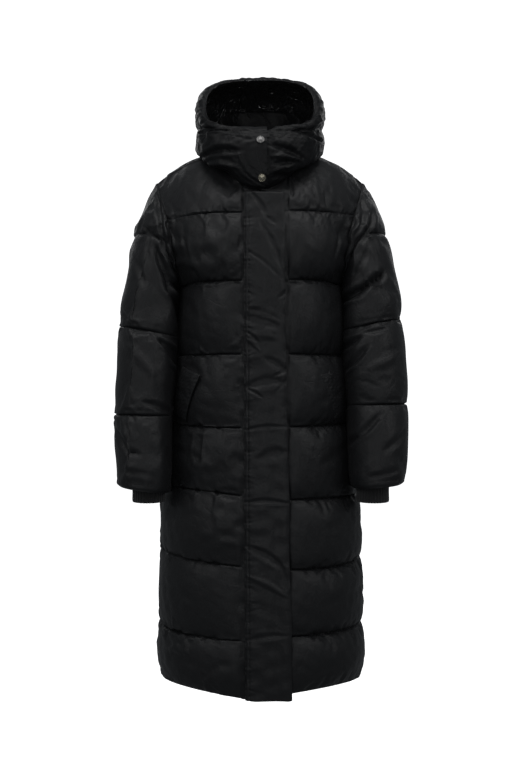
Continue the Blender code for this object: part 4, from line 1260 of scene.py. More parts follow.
Wardrobe = dict[str, bpy.types.Material]
FINISHES = {
    "shell": ClothFinish("shell_weave", (0.0095, 0.0098, 0.0106), 0.46, 0.01, 0.00016, 1500.0,
                         0.0011),
    # Hood's outer cloth: a darker copy of the shell cloth, painted shade for the hood hanging in
    # shadow.
    "satin": ClothFinish("hood_weave_painted_shade", (0.0044, 0.0046, 0.0052), 0.46, 0.003, 0.00012, 1500.0,
                         0.0013, 0.14, crease=0.0004),
    # Hood lining: lighter than the shell cloth, painted light inside the hood where little lamp
    # light reaches.
    "lining": ClothFinish("hood_lining_painted_light", (0.015, 0.0152, 0.0162), 0.28, 0.01, 0.00006, 1300.0,
                          0.004, 1.0, Weave.EVEN, 0.003),
    # Collar: darker than the shell cloth, painted shade for the collar deep inside the hood.
    "collar": ClothFinish("collar_satin_painted_shade", (0.0024, 0.0025, 0.0028), 0.5, 0.0, 0.00008, 1300.0,
                          0.0016, 0.12, Weave.EVEN, 0.0012),
    "thread": ClothFinish("thread_black", (0.008, 0.0082, 0.009), 0.6, 0.02, 0.00006, 2600.0,
                          0.0002, 0.3, Weave.EVEN),
    "knit": KnitFinish("rib_knit_black", (0.0075, 0.0075, 0.0082)),
    "tape": ClothFinish("zip_tape_black", (0.007, 0.007, 0.0076), 0.68, 0.02, 0.00014, 1800.0,
                        0.0002, 0.2, Weave.EVEN),
    "pewter": MetalFinish("stud_pewter", (0.27, 0.265, 0.26), 0.36),
    "antique": MetalFinish("stud_antique", (0.4, 0.37, 0.29), 0.24),
}


def line_relief(away: Array, along: Array, reach_share: float, seed: int) -> Array:
    """Gathers of every size beside one sewn line of the body or a sleeve.

    Args:
        away: distance from the line.
        along: way along it.
        reach_share: how far they reach, as a share of their own reach.
        seed: start of the random draws.

    Returns:
        Heights.
    """
    return sum(
        Gathers(pitch, depth, reach * reach_share, seed + 500 * k).field(away, along)
        for k, (pitch, depth, reach) in enumerate(LINE_GATHERS)
    )


# ---------------------------------------------------------------- body
@dataclass
class BodyShell:
    """Two fronts and the back, quilted, with one direction along each shared seam."""

    fullness: float = 0.9
    flank_stand: float = 0.0042  # the flanks lean this far out against the sleeves
    cuff_stand: float = 0.0016  # and this much more beside the cuffs
    cuff_height: float = -0.735
    plain_wave: float = 0.0004  # fine unevenness of the cloth
    seam_gathers: tuple = (0.009, 0.004, 0.008, 777)  # beside the flap's seam
    settling: Settling = field(default_factory=Settling)
    right: Grid = None
    left: Grid = None
    back: Grid = None

    def front_grid(self, side: int) -> Grid:
        """Sewing level of a front, from its edge to the side seam.

        Args:
            side: -1 the wearer's right, +1 the left.

        Returns:
            The grid.
        """
        rows, shares = BODY_ROWS[:, None], FRONT_SHARES[None, :]
        flat = FLAT_XS[side]

        def surface(r: Array, s: Array, first_x: float = PLAIN[side]) -> Array:
            """Sewing level at a row and share."""
            return panel_point(r, s, side, False, first_x)

        parts = [surface(rows, 0.0 * rows, x) for x in flat]
        normals = grid_normals(surface, rows, np.clip(shares, 0.002, 0.998), side)
        ahead = unit(normals[:, :1] * np.array([0.4, 1.0, 1.0]))
        start = 1.0 - np.clip(shares / (0.2 if side < 0 else 0.26), 0.0, 1.0)
        rise = swell(rows) * body_crown(rows, shares) * (1.0 - start ** 2) ** 0.6
        return Grid(
            np.concatenate(parts + [surface(rows, shares)], axis=1),
            np.concatenate([ahead] * len(flat) + [normals], axis=1),
            np.concatenate([0.0 * rise[:, :1]] * len(flat) + [rise], axis=1),
        )

    def back_grid(self) -> Grid:
        """Sewing level of the back, from the right to the left.

        Returns:
            The grid.
        """
        rows, shares = BODY_ROWS[:, None], BACK_SHARES[None, :]
        halves = []
        for side in (-1, 1):

            def surface(r: Array, s: Array, side: int = side) -> Array:
                """Sewing level at a row and share."""
                return panel_point(r, s, side, True)

            normals = grid_normals(surface, rows, np.clip(shares, 0.002, 0.998), -side)
            halves.append((surface(rows, shares), normals, swell(rows) * body_crown(rows, shares)))
        points, normals, rise = (np.concatenate([a[:, :0:-1], b], axis=1) for a, b in zip(*halves))
        normals[:, MIDDLE] = unit(halves[0][1][:, 0] + halves[1][1][:, 0])
        return Grid(points, normals, rise)

    def lay_out(self) -> "BodyShell":
        """Makes the three grids and joins their seam directions.

        Returns:
            The same object.
        """
        self.right, self.left, self.back = self.front_grid(-1), self.front_grid(1), self.back_grid()
        half = len(FRONT_SHARES) // 2
        upto = FIRST_HOLE + 1
        for front, col, side in ((self.right, 0, -1), (self.left, -1, 1)):
            shared = unit(front.normals[:upto, -1] + self.back.normals[:upto, col])
            front.normals[:upto, -1] = shared
            self.back.normals[:upto, col] = shared
            start = len(FLAT_XS[side]) + half
            behind = [
                MIDDLE + side * int(np.argmin(np.abs(BACK_SHARES - s))) for s in FRONT_SHARES[half:]
            ]
            seam = unit(front.normals[-1, start:] + self.back.normals[-1, behind])
            front.normals[-1, start:] = seam
            for k in np.flatnonzero(BACK_SHARES >= 0.5):
                near = int(np.argmin(np.abs(FRONT_SHARES[half:] - BACK_SHARES[k])))
                self.back.normals[-1, MIDDLE + side * k] = seam[near]
        return self

    def neckline(self) -> tuple:
        """Samples the neckline of the panels all round.

        Returns:
            Angles, points, outward directions and ways beyond the edge.
        """
        found = []
        for front, side in ((self.right, -1), (self.left, 1)):
            start = math.asin(PLAIN[side] / NECK_HALF_WIDTH)
            first = len(FLAT_XS[side])
            for j in range(0, len(FRONT_SHARES) // 2 + 1, 2):
                angle = start + (math.pi / 2 - start) * 2 * FRONT_SHARES[j]
                found.append((side * angle, front, first + j))
            for col, x in enumerate(FLAT_XS[side]):
                found.append((side * math.asin(x / NECK_HALF_WIDTH), front, col))
        for k in range(0, len(BACK_SHARES) // 2, 2):
            for side in (-1, 1):
                found.append((side * math.pi * (1 - BACK_SHARES[k]), self.back, MIDDLE + side * k))
        found.sort(key=lambda entry: entry[0])
        angles = np.array([angle for angle, _, _ in found])
        points = np.array([grid.points[-1, col] for _, grid, col in found])
        outward = np.array([grid.normals[-1, col] for _, grid, col in found])
        along = np.gradient(points, angles, axis=0)
        along[0] = along[-1] = (-1.0, 0.0, 0.0)
        return angles, points, outward, unit(np.cross(outward, along))

    def cover(self) -> tuple:
        """Outer points of the panels above their first line, with their directions.

        Returns:
            Points and directions.
        """
        upper = slice((TOP_ROW - 1) * CHANNEL_ROWS, None, 4)
        grids = (self.right, self.left, self.back)
        return (np.concatenate([grid.outer()[upper, ::4].reshape(-1, 3) for grid in grids]),
                np.concatenate([grid.normals[upper, ::4].reshape(-1, 3) for grid in grids]))

    def finish_panel(self, node: str, grid: Grid, table: tuple, behind: bool, seed: int) -> Array:
        """Outer side of a panel: settled cloth, gathers, uneven filling and folds.

        Args:
            node: solid that the panel stands for.
            grid: its sewing level.
            table: its folds.
            behind: True for the back.
            seed: seed of its gathers.

        Returns:
            Outer points.
        """
        along = row_lengths(grid.points)
        z = grid.points[..., 2]
        uneven = 1.0 + 0.07 * wander(along * 5.0, z * 9.0, seed)
        flank = smooth((np.abs(grid.normals[..., 0]) - 0.75) / 0.2)
        leaning = smooth((-0.25 - z) / 0.05) * smooth((z + 0.81) / 0.05) * flank
        stand = (self.flank_stand + self.cuff_stand * bell(z - self.cuff_height, 0.03)) * leaning
        outer = Grid(grid.points, grid.normals, grid.rise * self.fullness * uneven + stand).outer()
        held = np.zeros(outer.shape[:2], bool)
        held[::CHANNEL_ROWS] = True
        held[:, 0] = held[:, -1] = True
        held[:, :len(FLAT_XS[-1])] |= not behind
        moves = self.settling.run(node, outer, held, False)
        outward = (moves * grid.normals).sum(-1, keepdims=True)
        outer = outer + moves - grid.normals * np.minimum(outward + 0.0015, 0.0)
        height = np.zeros(outer.shape[:2])
        for line in range(TOP_ROW):
            level = grid.points[line * CHANNEL_ROWS]
            for above in (True, False):
                low = line if above else line - 1
                if low < 0:
                    continue
                inside = (BODY_ROWS >= low) & (BODY_ROWS <= low + 1)
                apart = grid.points[inside] - level
                away = (np.abs(apart[..., 2]) + np.linalg.norm(apart, axis=-1)) / 2
                first = seed * 40 + line * 2 + int(above)
                height[inside] += line_relief(away, along[inside], 1.0 if above else 0.7, first)
                height[inside] -= LINE_GROOVE * bell(away, LINE_GROOVE)
        height *= smooth(grid.rise.max(axis=0, keepdims=True) / 0.004) * (1.0 - 0.8 * leaning)
        if node == "front_right":
            seam = np.abs(np.abs(grid.points[..., 0]) - PLAIN[-1])
            beside = Gathers(*self.seam_gathers).field(seam, z)
            height += beside * smooth(grid.rise / 0.003) * (1.0 - 0.6 * smooth((-0.55 - z) / 0.2))
        relief = folds_height(table, grid.points, grid.normals, behind)
        relief = relief + self.plain_wave * wander(along * 34.0, z * 30.0, seed + 5)
        height += relief * swell(BODY_ROWS)[:, None]
        edge = np.minimum(np.arange(outer.shape[1]), np.arange(outer.shape[1])[::-1]) / 4.0
        height *= np.clip(edge, 0.0, 1.0)[None, :]
        return outer + grid.normals * np.maximum(height, -(grid.rise + 0.0019))[..., None]

    def build(self, ward: Wardrobe) -> None:
        """Makes the three panels and their stitches.

        Args:
            ward: the finishes.
        """
        for node, grid, table, behind, seed in (
            ("front_right", self.right, FRONT_FOLDS, False, 3),
            ("front_left", self.left, FRONT_FOLDS, False, 5),
            ("back", self.back, BACK_FOLDS, True, 7),
        ):
            outer = self.finish_panel(node, grid, table, behind, seed)
            wall = Wall(node + "_panel", node, outer, grid.inner())
            wall.build([ward["shell"]])
            thread = ThreadWork(node + "_stitches")
            for row in [line * CHANNEL_ROWS for line in range(1, TOP_ROW)] + [HEM_STITCH_ROW]:
                thread.add(outer[row, 2:-2], grid.normals[row, 2:-2])
            thread.build(ward["thread"])


# ---------------------------------------------------------------- sleeves
@dataclass
class SleeveShell:
    """Quilted sleeve set into the armhole."""

    name: str
    side: int
    table: tuple
    folds: tuple
    seed: int
    steps: tuple = (28, 40, 60, 36)  # rows of each channel
    fullness: float = 0.95
    outside_stand: float = 0.0052  # fuller on the outside of the upper arm
    inside_stand: float = 0.004  # leans this far on the body
    groove: tuple = (0.0012, 0.0028)  # depth and width of a sewn line's groove
    settling: Settling = field(default_factory=lambda: Settling(2.5, 0.05, 0.006))
    grid: Grid = None
    sewn: list = field(default_factory=list)
    turn: Array = None

    def lay_out(self, body: BodyShell) -> "SleeveShell":
        """Makes the sleeve's grid and shares the armhole's directions with the body.

        Args:
            body: the body panels.

        Returns:
            The same object.
        """
        front = body.right if self.side < 0 else body.left
        col = 0 if self.side < 0 else -1
        half = len(front.points[FIRST_HOLE:]) - 1
        back = body.back
        hole, loop = (
            np.concatenate([ahead[FIRST_HOLE:, -1][::-1], behind[FIRST_HOLE:, col][1:-1]])
            for ahead, behind in ((front.points, back.points), (front.normals, back.normals))
        )
        way = lengths_along(np.concatenate([hole, hole[:1]]))
        turn = np.interp(way[:-1], (0.0, way[half], way[-1]), (0.0, math.pi, 2 * math.pi))
        rings = [hole]
        for _, ox, oz, ix, iz, cy, depth in self.table:
            centre = np.array([(ox + ix) / 2 * self.side, cy, (oz + iz) / 2])
            across = np.array([(ox - ix) / 2 * self.side, 0.0, (oz - iz) / 2])
            forward = np.array([0.0, -depth, 0.0])
            rings.append(centre + across * power(np.cos(turn), SLEEVE_SQUARE)[:, None]
                         + forward * power(np.sin(turn), SLEEVE_SQUARE)[:, None])
        cap = round_the_loop(turn, CAP_LINE)
        places, full = [], []
        for low, high, count in zip((0.0, cap, 2.0, 4.0), (cap, 2.0, 4.0, 5.0), self.steps):
            self.sewn.append(len(places))
            for step in range(count):
                share = step / count
                share = 0.65 * share + 0.35 * (0.5 - 0.5 * math.cos(math.pi * share))
                places.append(low + (high - low) * share + 0.0 * cap)
                full.append((1.0 if self.sewn[-1] else 0.8) * pillow(share))
        self.sewn.append(len(places))
        points = sleeve_point(np.array(rings), np.array(places + [5.0 + 0.0 * cap]))
        inward = cuff_ring(self.side, self.table, turn, CUFF_SEAT, 0.0)
        inward[:, 2] = points[-1][:, 2] + 0.005
        points = np.concatenate([points, inward[None]])
        around = np.roll(points, -1, axis=1) - np.roll(points, 1, axis=1)
        normals = unit(np.cross(np.gradient(points, axis=0), around)) * -self.side
        side_crown = np.where(np.cos(turn) > 0, SLEEVE_OUTER_CROWN, SLEEVE_INNER_CROWN)
        crown = SLEEVE_FRONT_CROWN + (side_crown - SLEEVE_FRONT_CROWN) * np.cos(turn) ** 2
        under = smooth((ARMHOLE_LOW - points[0][:, 2:3]) / 0.06)
        shared = unit(unit(loop + normals[0]) + np.array([0.0, 0.0, -1.5]) * under)
        normals[0] = shared
        front.normals[FIRST_HOLE:, -1] = shared[:half + 1][::-1]
        body.back.normals[FIRST_HOLE:, col] = np.concatenate([shared[half:], shared[:1]])
        points[0] += unit(points[1] - points[0]) * SEAM_GAP
        self.grid = Grid(points, normals, np.array(full + [0.0, 0.0])[:, None] * crown[None, :])
        self.turn = turn
        return self

    def gathers(self) -> Array:
        """Gathers and grooves of the sleeve's sewn lines.

        Returns:
            Heights.
        """
        grid, sewn = self.grid, self.sewn
        along = np.broadcast_to(lengths_along(grid.points[sewn[2]])[None, :], grid.rise.shape)
        height = np.zeros(grid.rise.shape)
        for k, row in enumerate(sewn):
            for above in (True, False):
                low = sewn[k - 1] if above and k else row
                high = row if above else sewn[min(k + 1, len(sewn) - 1)]
                if high <= low:
                    continue
                part = slice(low, high + 1)
                away = np.linalg.norm(grid.points[part] - grid.points[row], axis=-1)
                fade = smooth(along[part] / 0.01) * smooth((along.max() - along[part]) / 0.01)
                relief = line_relief(away, along[part], 1.0, self.seed * 50 + 2 * k + above)
                height[part] += relief * fade * min(k / 2, 1.0)
                height[part] -= self.groove[0] * bell(away, self.groove[1]) * (row > 0)
        return height

    def outer_side(self) -> Array:
        """Outer side of the sleeve: settled cloth, gathers and folds.

        Returns:
            Outer points.
        """
        grid, sewn = self.grid, self.sewn
        z = grid.points[..., 2]
        cosine = np.cos(self.turn)
        uneven = 1.0 + 0.08 * wander(np.sin(self.turn)[None, :] * 1.3, z * 13.0, self.seed)
        outside = smooth(cosine / 0.8)[None, :]
        outside = outside * smooth((z + 0.3) / 0.09) * smooth((-0.115 - z) / 0.06)
        leaning = smooth((-0.2 - cosine) / 0.6)[None, :]
        leaning = leaning * smooth((-0.255 - z) / 0.05) * smooth((z + 0.73) / 0.05)
        full = grid.rise * self.fullness * uneven
        full = full + self.outside_stand * outside + self.inside_stand * leaning
        outer = Grid(grid.points, grid.normals, full).outer()
        held = np.zeros(grid.rise.shape, bool)
        held[sewn + [row - row % 2 for row in sewn]] = True
        held[-3:] = True
        cut = (len(outer) - 1) // 2 * 2 + 1
        moves = np.zeros_like(outer)
        moves[:cut] = self.settling.run(self.name, outer[:cut], held[:cut], True)
        outward = (moves * grid.normals).sum(-1, keepdims=True)
        inside = smooth((0.2 - cosine) / 0.9)[None, :, None]
        less = np.minimum(outward, 0.0) * 0.6 + np.maximum(outward, 0.0) * inside * 0.75
        moves -= grid.normals * less
        moves[sewn] = 0.0
        moves[-2:] = 0.0
        outer = outer + moves
        height = self.gathers() * (1.0 - 0.8 * leaning)
        height = height * np.clip(grid.rise / 0.004 + 0.35, 0.0, 1.0)
        mirrored = [
            (a * self.side, b, c * self.side, *rest) for a, b, c, *rest in SLEEVE_BACK_FOLDS
        ]
        relief = folds_height(self.folds, grid.points, grid.normals)
        relief = relief + folds_height(mirrored, grid.points, grid.normals, True)
        height += relief * np.clip(grid.rise / (0.4 * SLEEVE_OUTER_CROWN), 0.0, 1.0)
        height = np.maximum(height, -(grid.rise + 0.001))
        height[-3:] = 0.0
        return outer + grid.normals * height[..., None]

    def build(self, ward: Wardrobe) -> None:
        """Makes the sleeve and its stitches.

        Args:
            ward: the finishes.
        """
        grid, outer = self.grid, self.outer_side()
        deep = np.full((len(outer), 1, 1), INNER_WALL)
        deep[-4:, 0, 0] = (INNER_WALL * 0.7, INNER_WALL / 2, SLEEVE_END_WALL, SLEEVE_END_WALL)
        inner = grid.points - grid.normals * deep
        outer[-1] = grid.points[-1] + np.array([0.0, 0.0, -0.0015])
        inner[-1] = grid.points[-1] + np.array([0.0, 0.0, 0.0015])
        inner[-2, :, 2] += 0.0045
        wall = Wall(self.name + "_shell", self.name, outer, inner, ring=True, roll=0.0)
        wall.build([ward["shell"]])
        thread = ThreadWork(self.name + "_stitches")
        for row in self.sewn[1:-1] + [self.sewn[-1] - 4]:
            closed = np.arange(outer.shape[1] + 1) % outer.shape[1]
            thread.add(outer[row, closed], grid.normals[row, closed])
        thread.build(ward["thread"])


@dataclass
class RibCuff:
    """Rib-knit cuff: a tube with rounded ribs."""

    name: str
    side: int
    table: tuple
    samples: int = 8
    rows: int = 18
    flat: tuple = (0.252, 0.043)  # round the cuff and along it

    def build(self, ward: Wardrobe) -> None:
        """Makes the cuff.

        Args:
            ward: the finishes.
        """
        turn = np.linspace(0.0, 2 * math.pi, CUFF_RIBS * self.samples, endpoint=False)
        rib = CUFF_RIB * np.abs(np.cos(turn * CUFF_RIBS / 2)) ** 0.6
        outer, inner = [], []
        for share in np.linspace(0.0, 1.0, self.rows):
            z = CUFF_TOP_Z + (CUFF_END_Z - CUFF_TOP_Z) * share
            less = 0.001 * smooth((share - 0.9) / 0.1) + 0.0006 * math.sin(math.pi * share)
            outer.append(cuff_ring(self.side, self.table, turn, rib - less, z))
            inner.append(cuff_ring(self.side, self.table, turn, -CUFF_WALL, z))
        wall = Wall(self.name + "_knit", self.name, np.array(outer), np.array(inner), ring=True)
        piece = wall.build([ward["knit"]], "rib_knit")


# ---------------------------------------------------------------- hood and collar
@dataclass
class HoodShell:
    """Hood of two sides and a centre strip, with a crumpled satin inside; the outer cloth is darker
    than the shell as painted shade, and the lining lighter as painted light.
    """

    neck: tuple
    cover: tuple
    rows: int = 72
    side_cols: int = 150
    strip_cols: int = 40
    line_gathers: tuple = (0.01, 0.0016, 0.014)
    neck_gathers: tuple = (0.01, 0.002, 0.016)
    way_up: tuple = (0.3, 0.28)  # from seam to rim, beside the line and at the neck
    ruffle: float = 0.0012
    rim: float = 0.0016
    crumples: tuple = (0.0052, 0.0016)  # of the lining, broad and fine
    front_y: float = -0.03  # the laps lie in front of this

    def panel(self, start: tuple, end: tuple, cols: int, turns: float = 0.0) -> tuple:
        """Part of the hood between two lines of fixed x.

        Args:
            start: x where it starts, and whether that is behind.
            end: x where it ends, and whether that is behind.
            cols: how many columns.
            turns: angle added at the end.

        Returns:
            Points, directions, swelling, ways beyond the neck seam, and the quilting line.
        """
        shares = np.linspace(0.0, 1.0, self.rows)[:, None]
        part = np.linspace(0.0, 1.0, cols)[None, :]
        first = hood_angle(shares, *start)
        angle = first + (hood_angle(shares, *end) + turns - first) * part
        shares = shares + 0.0 * angle

        def surface(v: Array, a: Array) -> Array:
            """Sewing level of the hood."""
            return loop_point(HOOD, np.clip(v, 0, 1), a, HOOD_SQUARE)

        points = surface(shares, angle)
        normals = grid_normals(surface, np.clip(shares, 0.003, 0.997), angle, 1.0)
        edge, outward, beyond = neck_edge(self.neck, angle[0])
        blend = (1.0 - smooth(shares / 0.06))[..., None]
        points = points + (edge + beyond * SEAM_GAP - points[0]) * blend
        normals = unit(normals * (1 - blend) + outward * blend)
        line = round_the_loop(angle, HOOD_LINE)
        channel = np.where(shares < line, shares / line, (shares - line) / (1.0 - line))
        rise = HOOD_CROWN * smooth((shares - 0.04) / 0.3) * pillow(channel)
        rise = rise * np.clip(np.minimum(part, 1 - part) * 9.0, 0.0, 1.0) ** 0.6
        return points, normals, rise, beyond, line

    def relief(self, points: Array, normals: Array, rise: Array, line: Array,
               lifted: Array, hidden: Array, seed: int) -> Array:
        """Outer side's height: filling, gathers, folds, ruffled edge and rim.

        Args:
            points: sewing level.
            normals: its directions.
            rise: swelling.
            line: the quilting line.
            lifted: 1 on the lap.
            hidden: 1 where the other side covers it.
            seed: seed of the gathers.

        Returns:
            Heights.
        """
        shares = np.linspace(0.0, 1.0, self.rows)[:, None]
        along = row_lengths(points)
        free = 1.0 - 0.9 * lifted
        height = rise * (1.0 + 0.2 * wander(along * 16.0, shares * 3.0, seed))
        away = np.abs(shares - line) * self.way_up[0]
        gathers = Gathers(*self.line_gathers, seed * 9).field(away, along)
        height += gathers * smooth(rise / 0.002) * free
        gathers = Gathers(*self.neck_gathers, seed * 9 + 1).field(shares * self.way_up[1], along)
        height += gathers * 0.8 * free
        chin = folds_height(HOOD_FOLDS, points, normals) * (1.0 - hidden)
        height += chin * smooth(shares / 0.12) * smooth((1 - shares) / 0.06)
        height += folds_height(HOOD_BACK_FOLDS, points, normals, True) * smooth(shares / 0.1)
        height += 0.0007 * wander(along * 40.0, shares * 9.0, seed + 60)
        ruffle = np.abs(wander(along * 26.0, shares * 7.0, seed + 70, 6)) ** 0.8 - 0.5
        height += self.ruffle * ruffle * smooth((shares - 0.72) / 0.12) * free
        rim = self.rim * np.clip(1.0 - ((shares - 0.962) / 0.034) ** 2, 0.0, 1.0) ** 0.5
        return np.maximum(height, -0.0011) + rim * (1 - 0.7 * lifted)

    def build(self, ward: Wardrobe) -> None:
        """Makes the three panels and their stitches.

        Args:
            ward: the finishes.
        """
        strip = HOOD_CENTRE_HALF
        thread = ThreadWork("hood_stitches")
        for name, seed, args in (
            ("hood_side_left", 21, ((HOOD_LAP_LEFT, False), (strip, True), self.side_cols)),
            ("hood_side_right", 22,
             ((HOOD_LAP_RIGHT, False), (-strip, True), self.side_cols, -2 * math.pi)),
            ("hood_center", 23, ((strip, True), (-strip, True), self.strip_cols)),
        ):
            points, normals, rise, beyond, line = self.panel(*args)
            shares = np.linspace(0.0, 1.0, self.rows)[:, None]
            x, in_front = points[..., 0], points[..., 1] < self.front_y
            lifted = hidden = np.zeros_like(rise)
            if name == "hood_side_right":
                lifted = np.where(in_front, smooth((x + 0.062) / 0.03), 0.0)
                level = points[0] * np.array([1.0, 1.0, 0.0])
                radial = unit(level - np.array([0.0, NECK_CENTRE_Y, 0.0]))
                blend = (1.0 - smooth(shares / 0.1))[..., None]
                ways = unit(normals * (1 - blend) + radial * blend)
                points = points + ways * (HOOD_LAP_LIFT * lifted)[..., None]
            if name == "hood_side_left":
                lifted = hidden = np.where(in_front, 1 - smooth((x - 0.014) / 0.02), 0.0)
            height = self.relief(points, normals, rise * (1 - lifted), line, lifted, hidden, seed)
            outer = points + normals * (SEWN_RISE + height)[..., None]
            along = row_lengths(points)
            broad = wander(along * 17.0, shares * 4.0, seed + 80, 6)
            fine = wander(along * 44.0 + 3.0, shares * 10.0, seed + 90, 7)
            crumple = self.crumples[0] * np.abs(broad) ** 0.7
            crumple += self.crumples[1] * np.abs(fine) ** 0.8
            crumple *= smooth(shares / 0.15) * smooth((1.0 - shares) / 0.08) * (1 - lifted)
            inner = points - normals * (HOOD_WALL + crumple)[..., None]
            low = slice(1, int(np.sum(shares <= 0.5)))
            lay = push_clear(outer[low], self.cover, HOOD_CLEAR)
            outer[low] += lay
            inner[low] += lay
            outer[0] = points[0] + beyond * 0.0001 + normals[0] * 0.0019
            inner[0] = points[0] + beyond * 0.0027 + normals[0] * 0.0008
            wall = Wall(name + "_shell", name, outer, inner)
            # Outer side in the darker cloth, painted shade; inside in the lighter lining, painted
            # light.
            wall.build([ward["satin"], ward["lining"]])
            rim = int(round(0.925 * (self.rows - 1)))
            thread.add(outer[rim, 1:-1], normals[rim, 1:-1])
            row = np.round(line[0] * (self.rows - 1)).astype(int)
            cols = np.arange(len(row))
            thread.add(outer[row, cols], normals[row, cols])
            if name != "hood_center":
                thread.add(outer[2:-2, 3], normals[2:-2, 3])
        thread.build(ward["thread"])


@dataclass
class StandCollar:
    """Padded stand collar inside the hood, its cloth darkened as painted shade."""

    neck: tuple
    rows: int = 44
    cols: int = 220
    puff: float = 0.002
    outer_gathers: tuple = (0.011, 0.0014, 0.012, 91)
    inner_gathers: tuple = (0.012, 0.0018, 0.012, 92)
    seat: float = 0.0037  # this far above the panels' neck seam

    def build(self, ward: Wardrobe) -> None:
        """Makes the collar and its stitches.

        Args:
            ward: the finishes.
        """
        angle = np.linspace(0.05, 2 * math.pi - 0.05, self.cols)[None, :]
        shares = np.linspace(0.0, 1.0, self.rows)[:, None] + 0.0 * angle
        angle = angle + 0.0 * shares

        def surface(v: Array, a: Array) -> Array:
            """Outer level of the collar."""
            return loop_point(COLLAR, np.clip(v, 0, 1), a, 0.95)

        points = surface(shares, angle)
        normals = grid_normals(surface, np.clip(shares, 0.003, 0.997), angle, 1.0)
        along = row_lengths(points)
        puff = self.puff * pillow((shares * 2.0) % 1.0)
        from_line = np.abs(shares - 0.5) * 0.16
        height = puff + Gathers(*self.outer_gathers).field(from_line, along)
        height = height + 0.0005 * wander(along * 30.0, shares * 7.0, 33)
        deep = np.interp(shares, (0, 0.33, 0.66, 1.0), (0.35, 1.0, 1.0, 0.7)) * COLLAR_WALL
        deep = deep + puff + Gathers(*self.inner_gathers).field(from_line, along) - 0.001
        edge, outward, beyond = neck_edge(self.neck, angle[0])
        blend = (1.0 - smooth(shares / 0.08))[..., None]
        sides = []
        for level, stand in ((points + normals * height[..., None], 0.0002),
                             (points - normals * deep[..., None], -0.0022)):
            sides.append(level + (edge + beyond * self.seat + outward * stand - level[0]) * blend)
        wall = Wall("stand_collar", "collar", *sides, roll=0.8)
        # the collar's darker cloth is painted shade
        wall.build([ward["collar"]])
        thread = ThreadWork("collar_stitches")
        row = self.rows // 2
        thread.add(sides[1][row, 2:-2], -normals[row, 2:-2])
        thread.build(ward["thread"])


# ---------------------------------------------------------------- closure and trims
@dataclass
class StormFlap:
    """Padded flap over the closure, sewn on the right front, with its free edge on the left."""

    rows: int = 520
    cols: int = 40
    stitched: tuple = (0.0022, 0.0088)  # distances of its stitches from its seam
    grooves: tuple = ((0.0015, 0.0013), (0.0018, 0.0014))  # depth and width along them
    over_left: float = 0.009  # stands this much further out over the left front
    seam_gathers: tuple = (0.0085, 0.0026, 0.008, 61)
    long_gathers: tuple = (0.034, 0.0036, 0.02, 63)
    edge_gathers: tuple = (0.016, 0.001, 0.008, 62)

    def build(self, ward: Wardrobe) -> None:
        """Makes the flap and its stitches.

        Args:
            ward: the finishes.
        """
        z = np.linspace(FLAP[0][0], FLAP[-1][0], self.rows)[:, None]
        seam, free = (spline(column(FLAP, 0), column(FLAP, k), z) for k in (1, 2))
        part = (np.linspace(0.0, 1.0, self.cols) ** 1.35)[None, :]
        width = free - seam
        x = seam + width * part + 0.001 * wander(z * 5.0, 0.0 * z, 44) * part
        z = z + 0.0 * x
        base = section_point(z, 0.0 * x, False, np.abs(x))
        base[..., 0] = x
        ahead = np.broadcast_to(np.array([0.0, -1.0, 0.0]), base.shape)
        stand = SEWN_RISE + SEAM_GAP + 0.0006 + smooth((x - 0.03) / 0.035) * self.over_left
        puff = FLAP_CROWN * pillow(part, 0.5)
        thick = FLAP_WALL * (0.55 + 0.45 * np.clip(np.minimum(part, 1 - part) * 9.0, 0, 1) ** 0.6)
        from_seam = part * width
        height = Gathers(*self.seam_gathers).field(np.abs(from_seam - 0.006), z)
        height = height + Gathers(*self.long_gathers).field(np.abs(from_seam - 0.003), z)
        height = height + Gathers(*self.edge_gathers).field((1 - part) * width, z)
        height = height + folds_height(FLAP_FOLDS, base, ahead)
        height = height + 0.0006 * wander(x * 30.0, z * 24.0, 45)
        height = np.maximum(height, -0.55 * FLAP_WALL)
        for distance, (depth, wide) in zip(self.stitched, self.grooves):
            height = height - depth * bell(from_seam - distance, wide)
        inner = base + ahead * stand[..., None]
        outer = inner + ahead * (puff + thick + height)[..., None]
        wall = Wall("storm_flap_shell", "storm_flap", outer, inner, roll=0.6)
        wall.build([ward["shell"]])
        thread = ThreadWork("flap_stitches")
        index = np.arange(self.rows)[3:-3]
        for distance in self.stitched:
            col = np.argmin(np.abs(from_seam - distance), axis=1)[index]
            thread.add(outer[index, col], ahead[index, col])
        thread.build(ward["thread"])


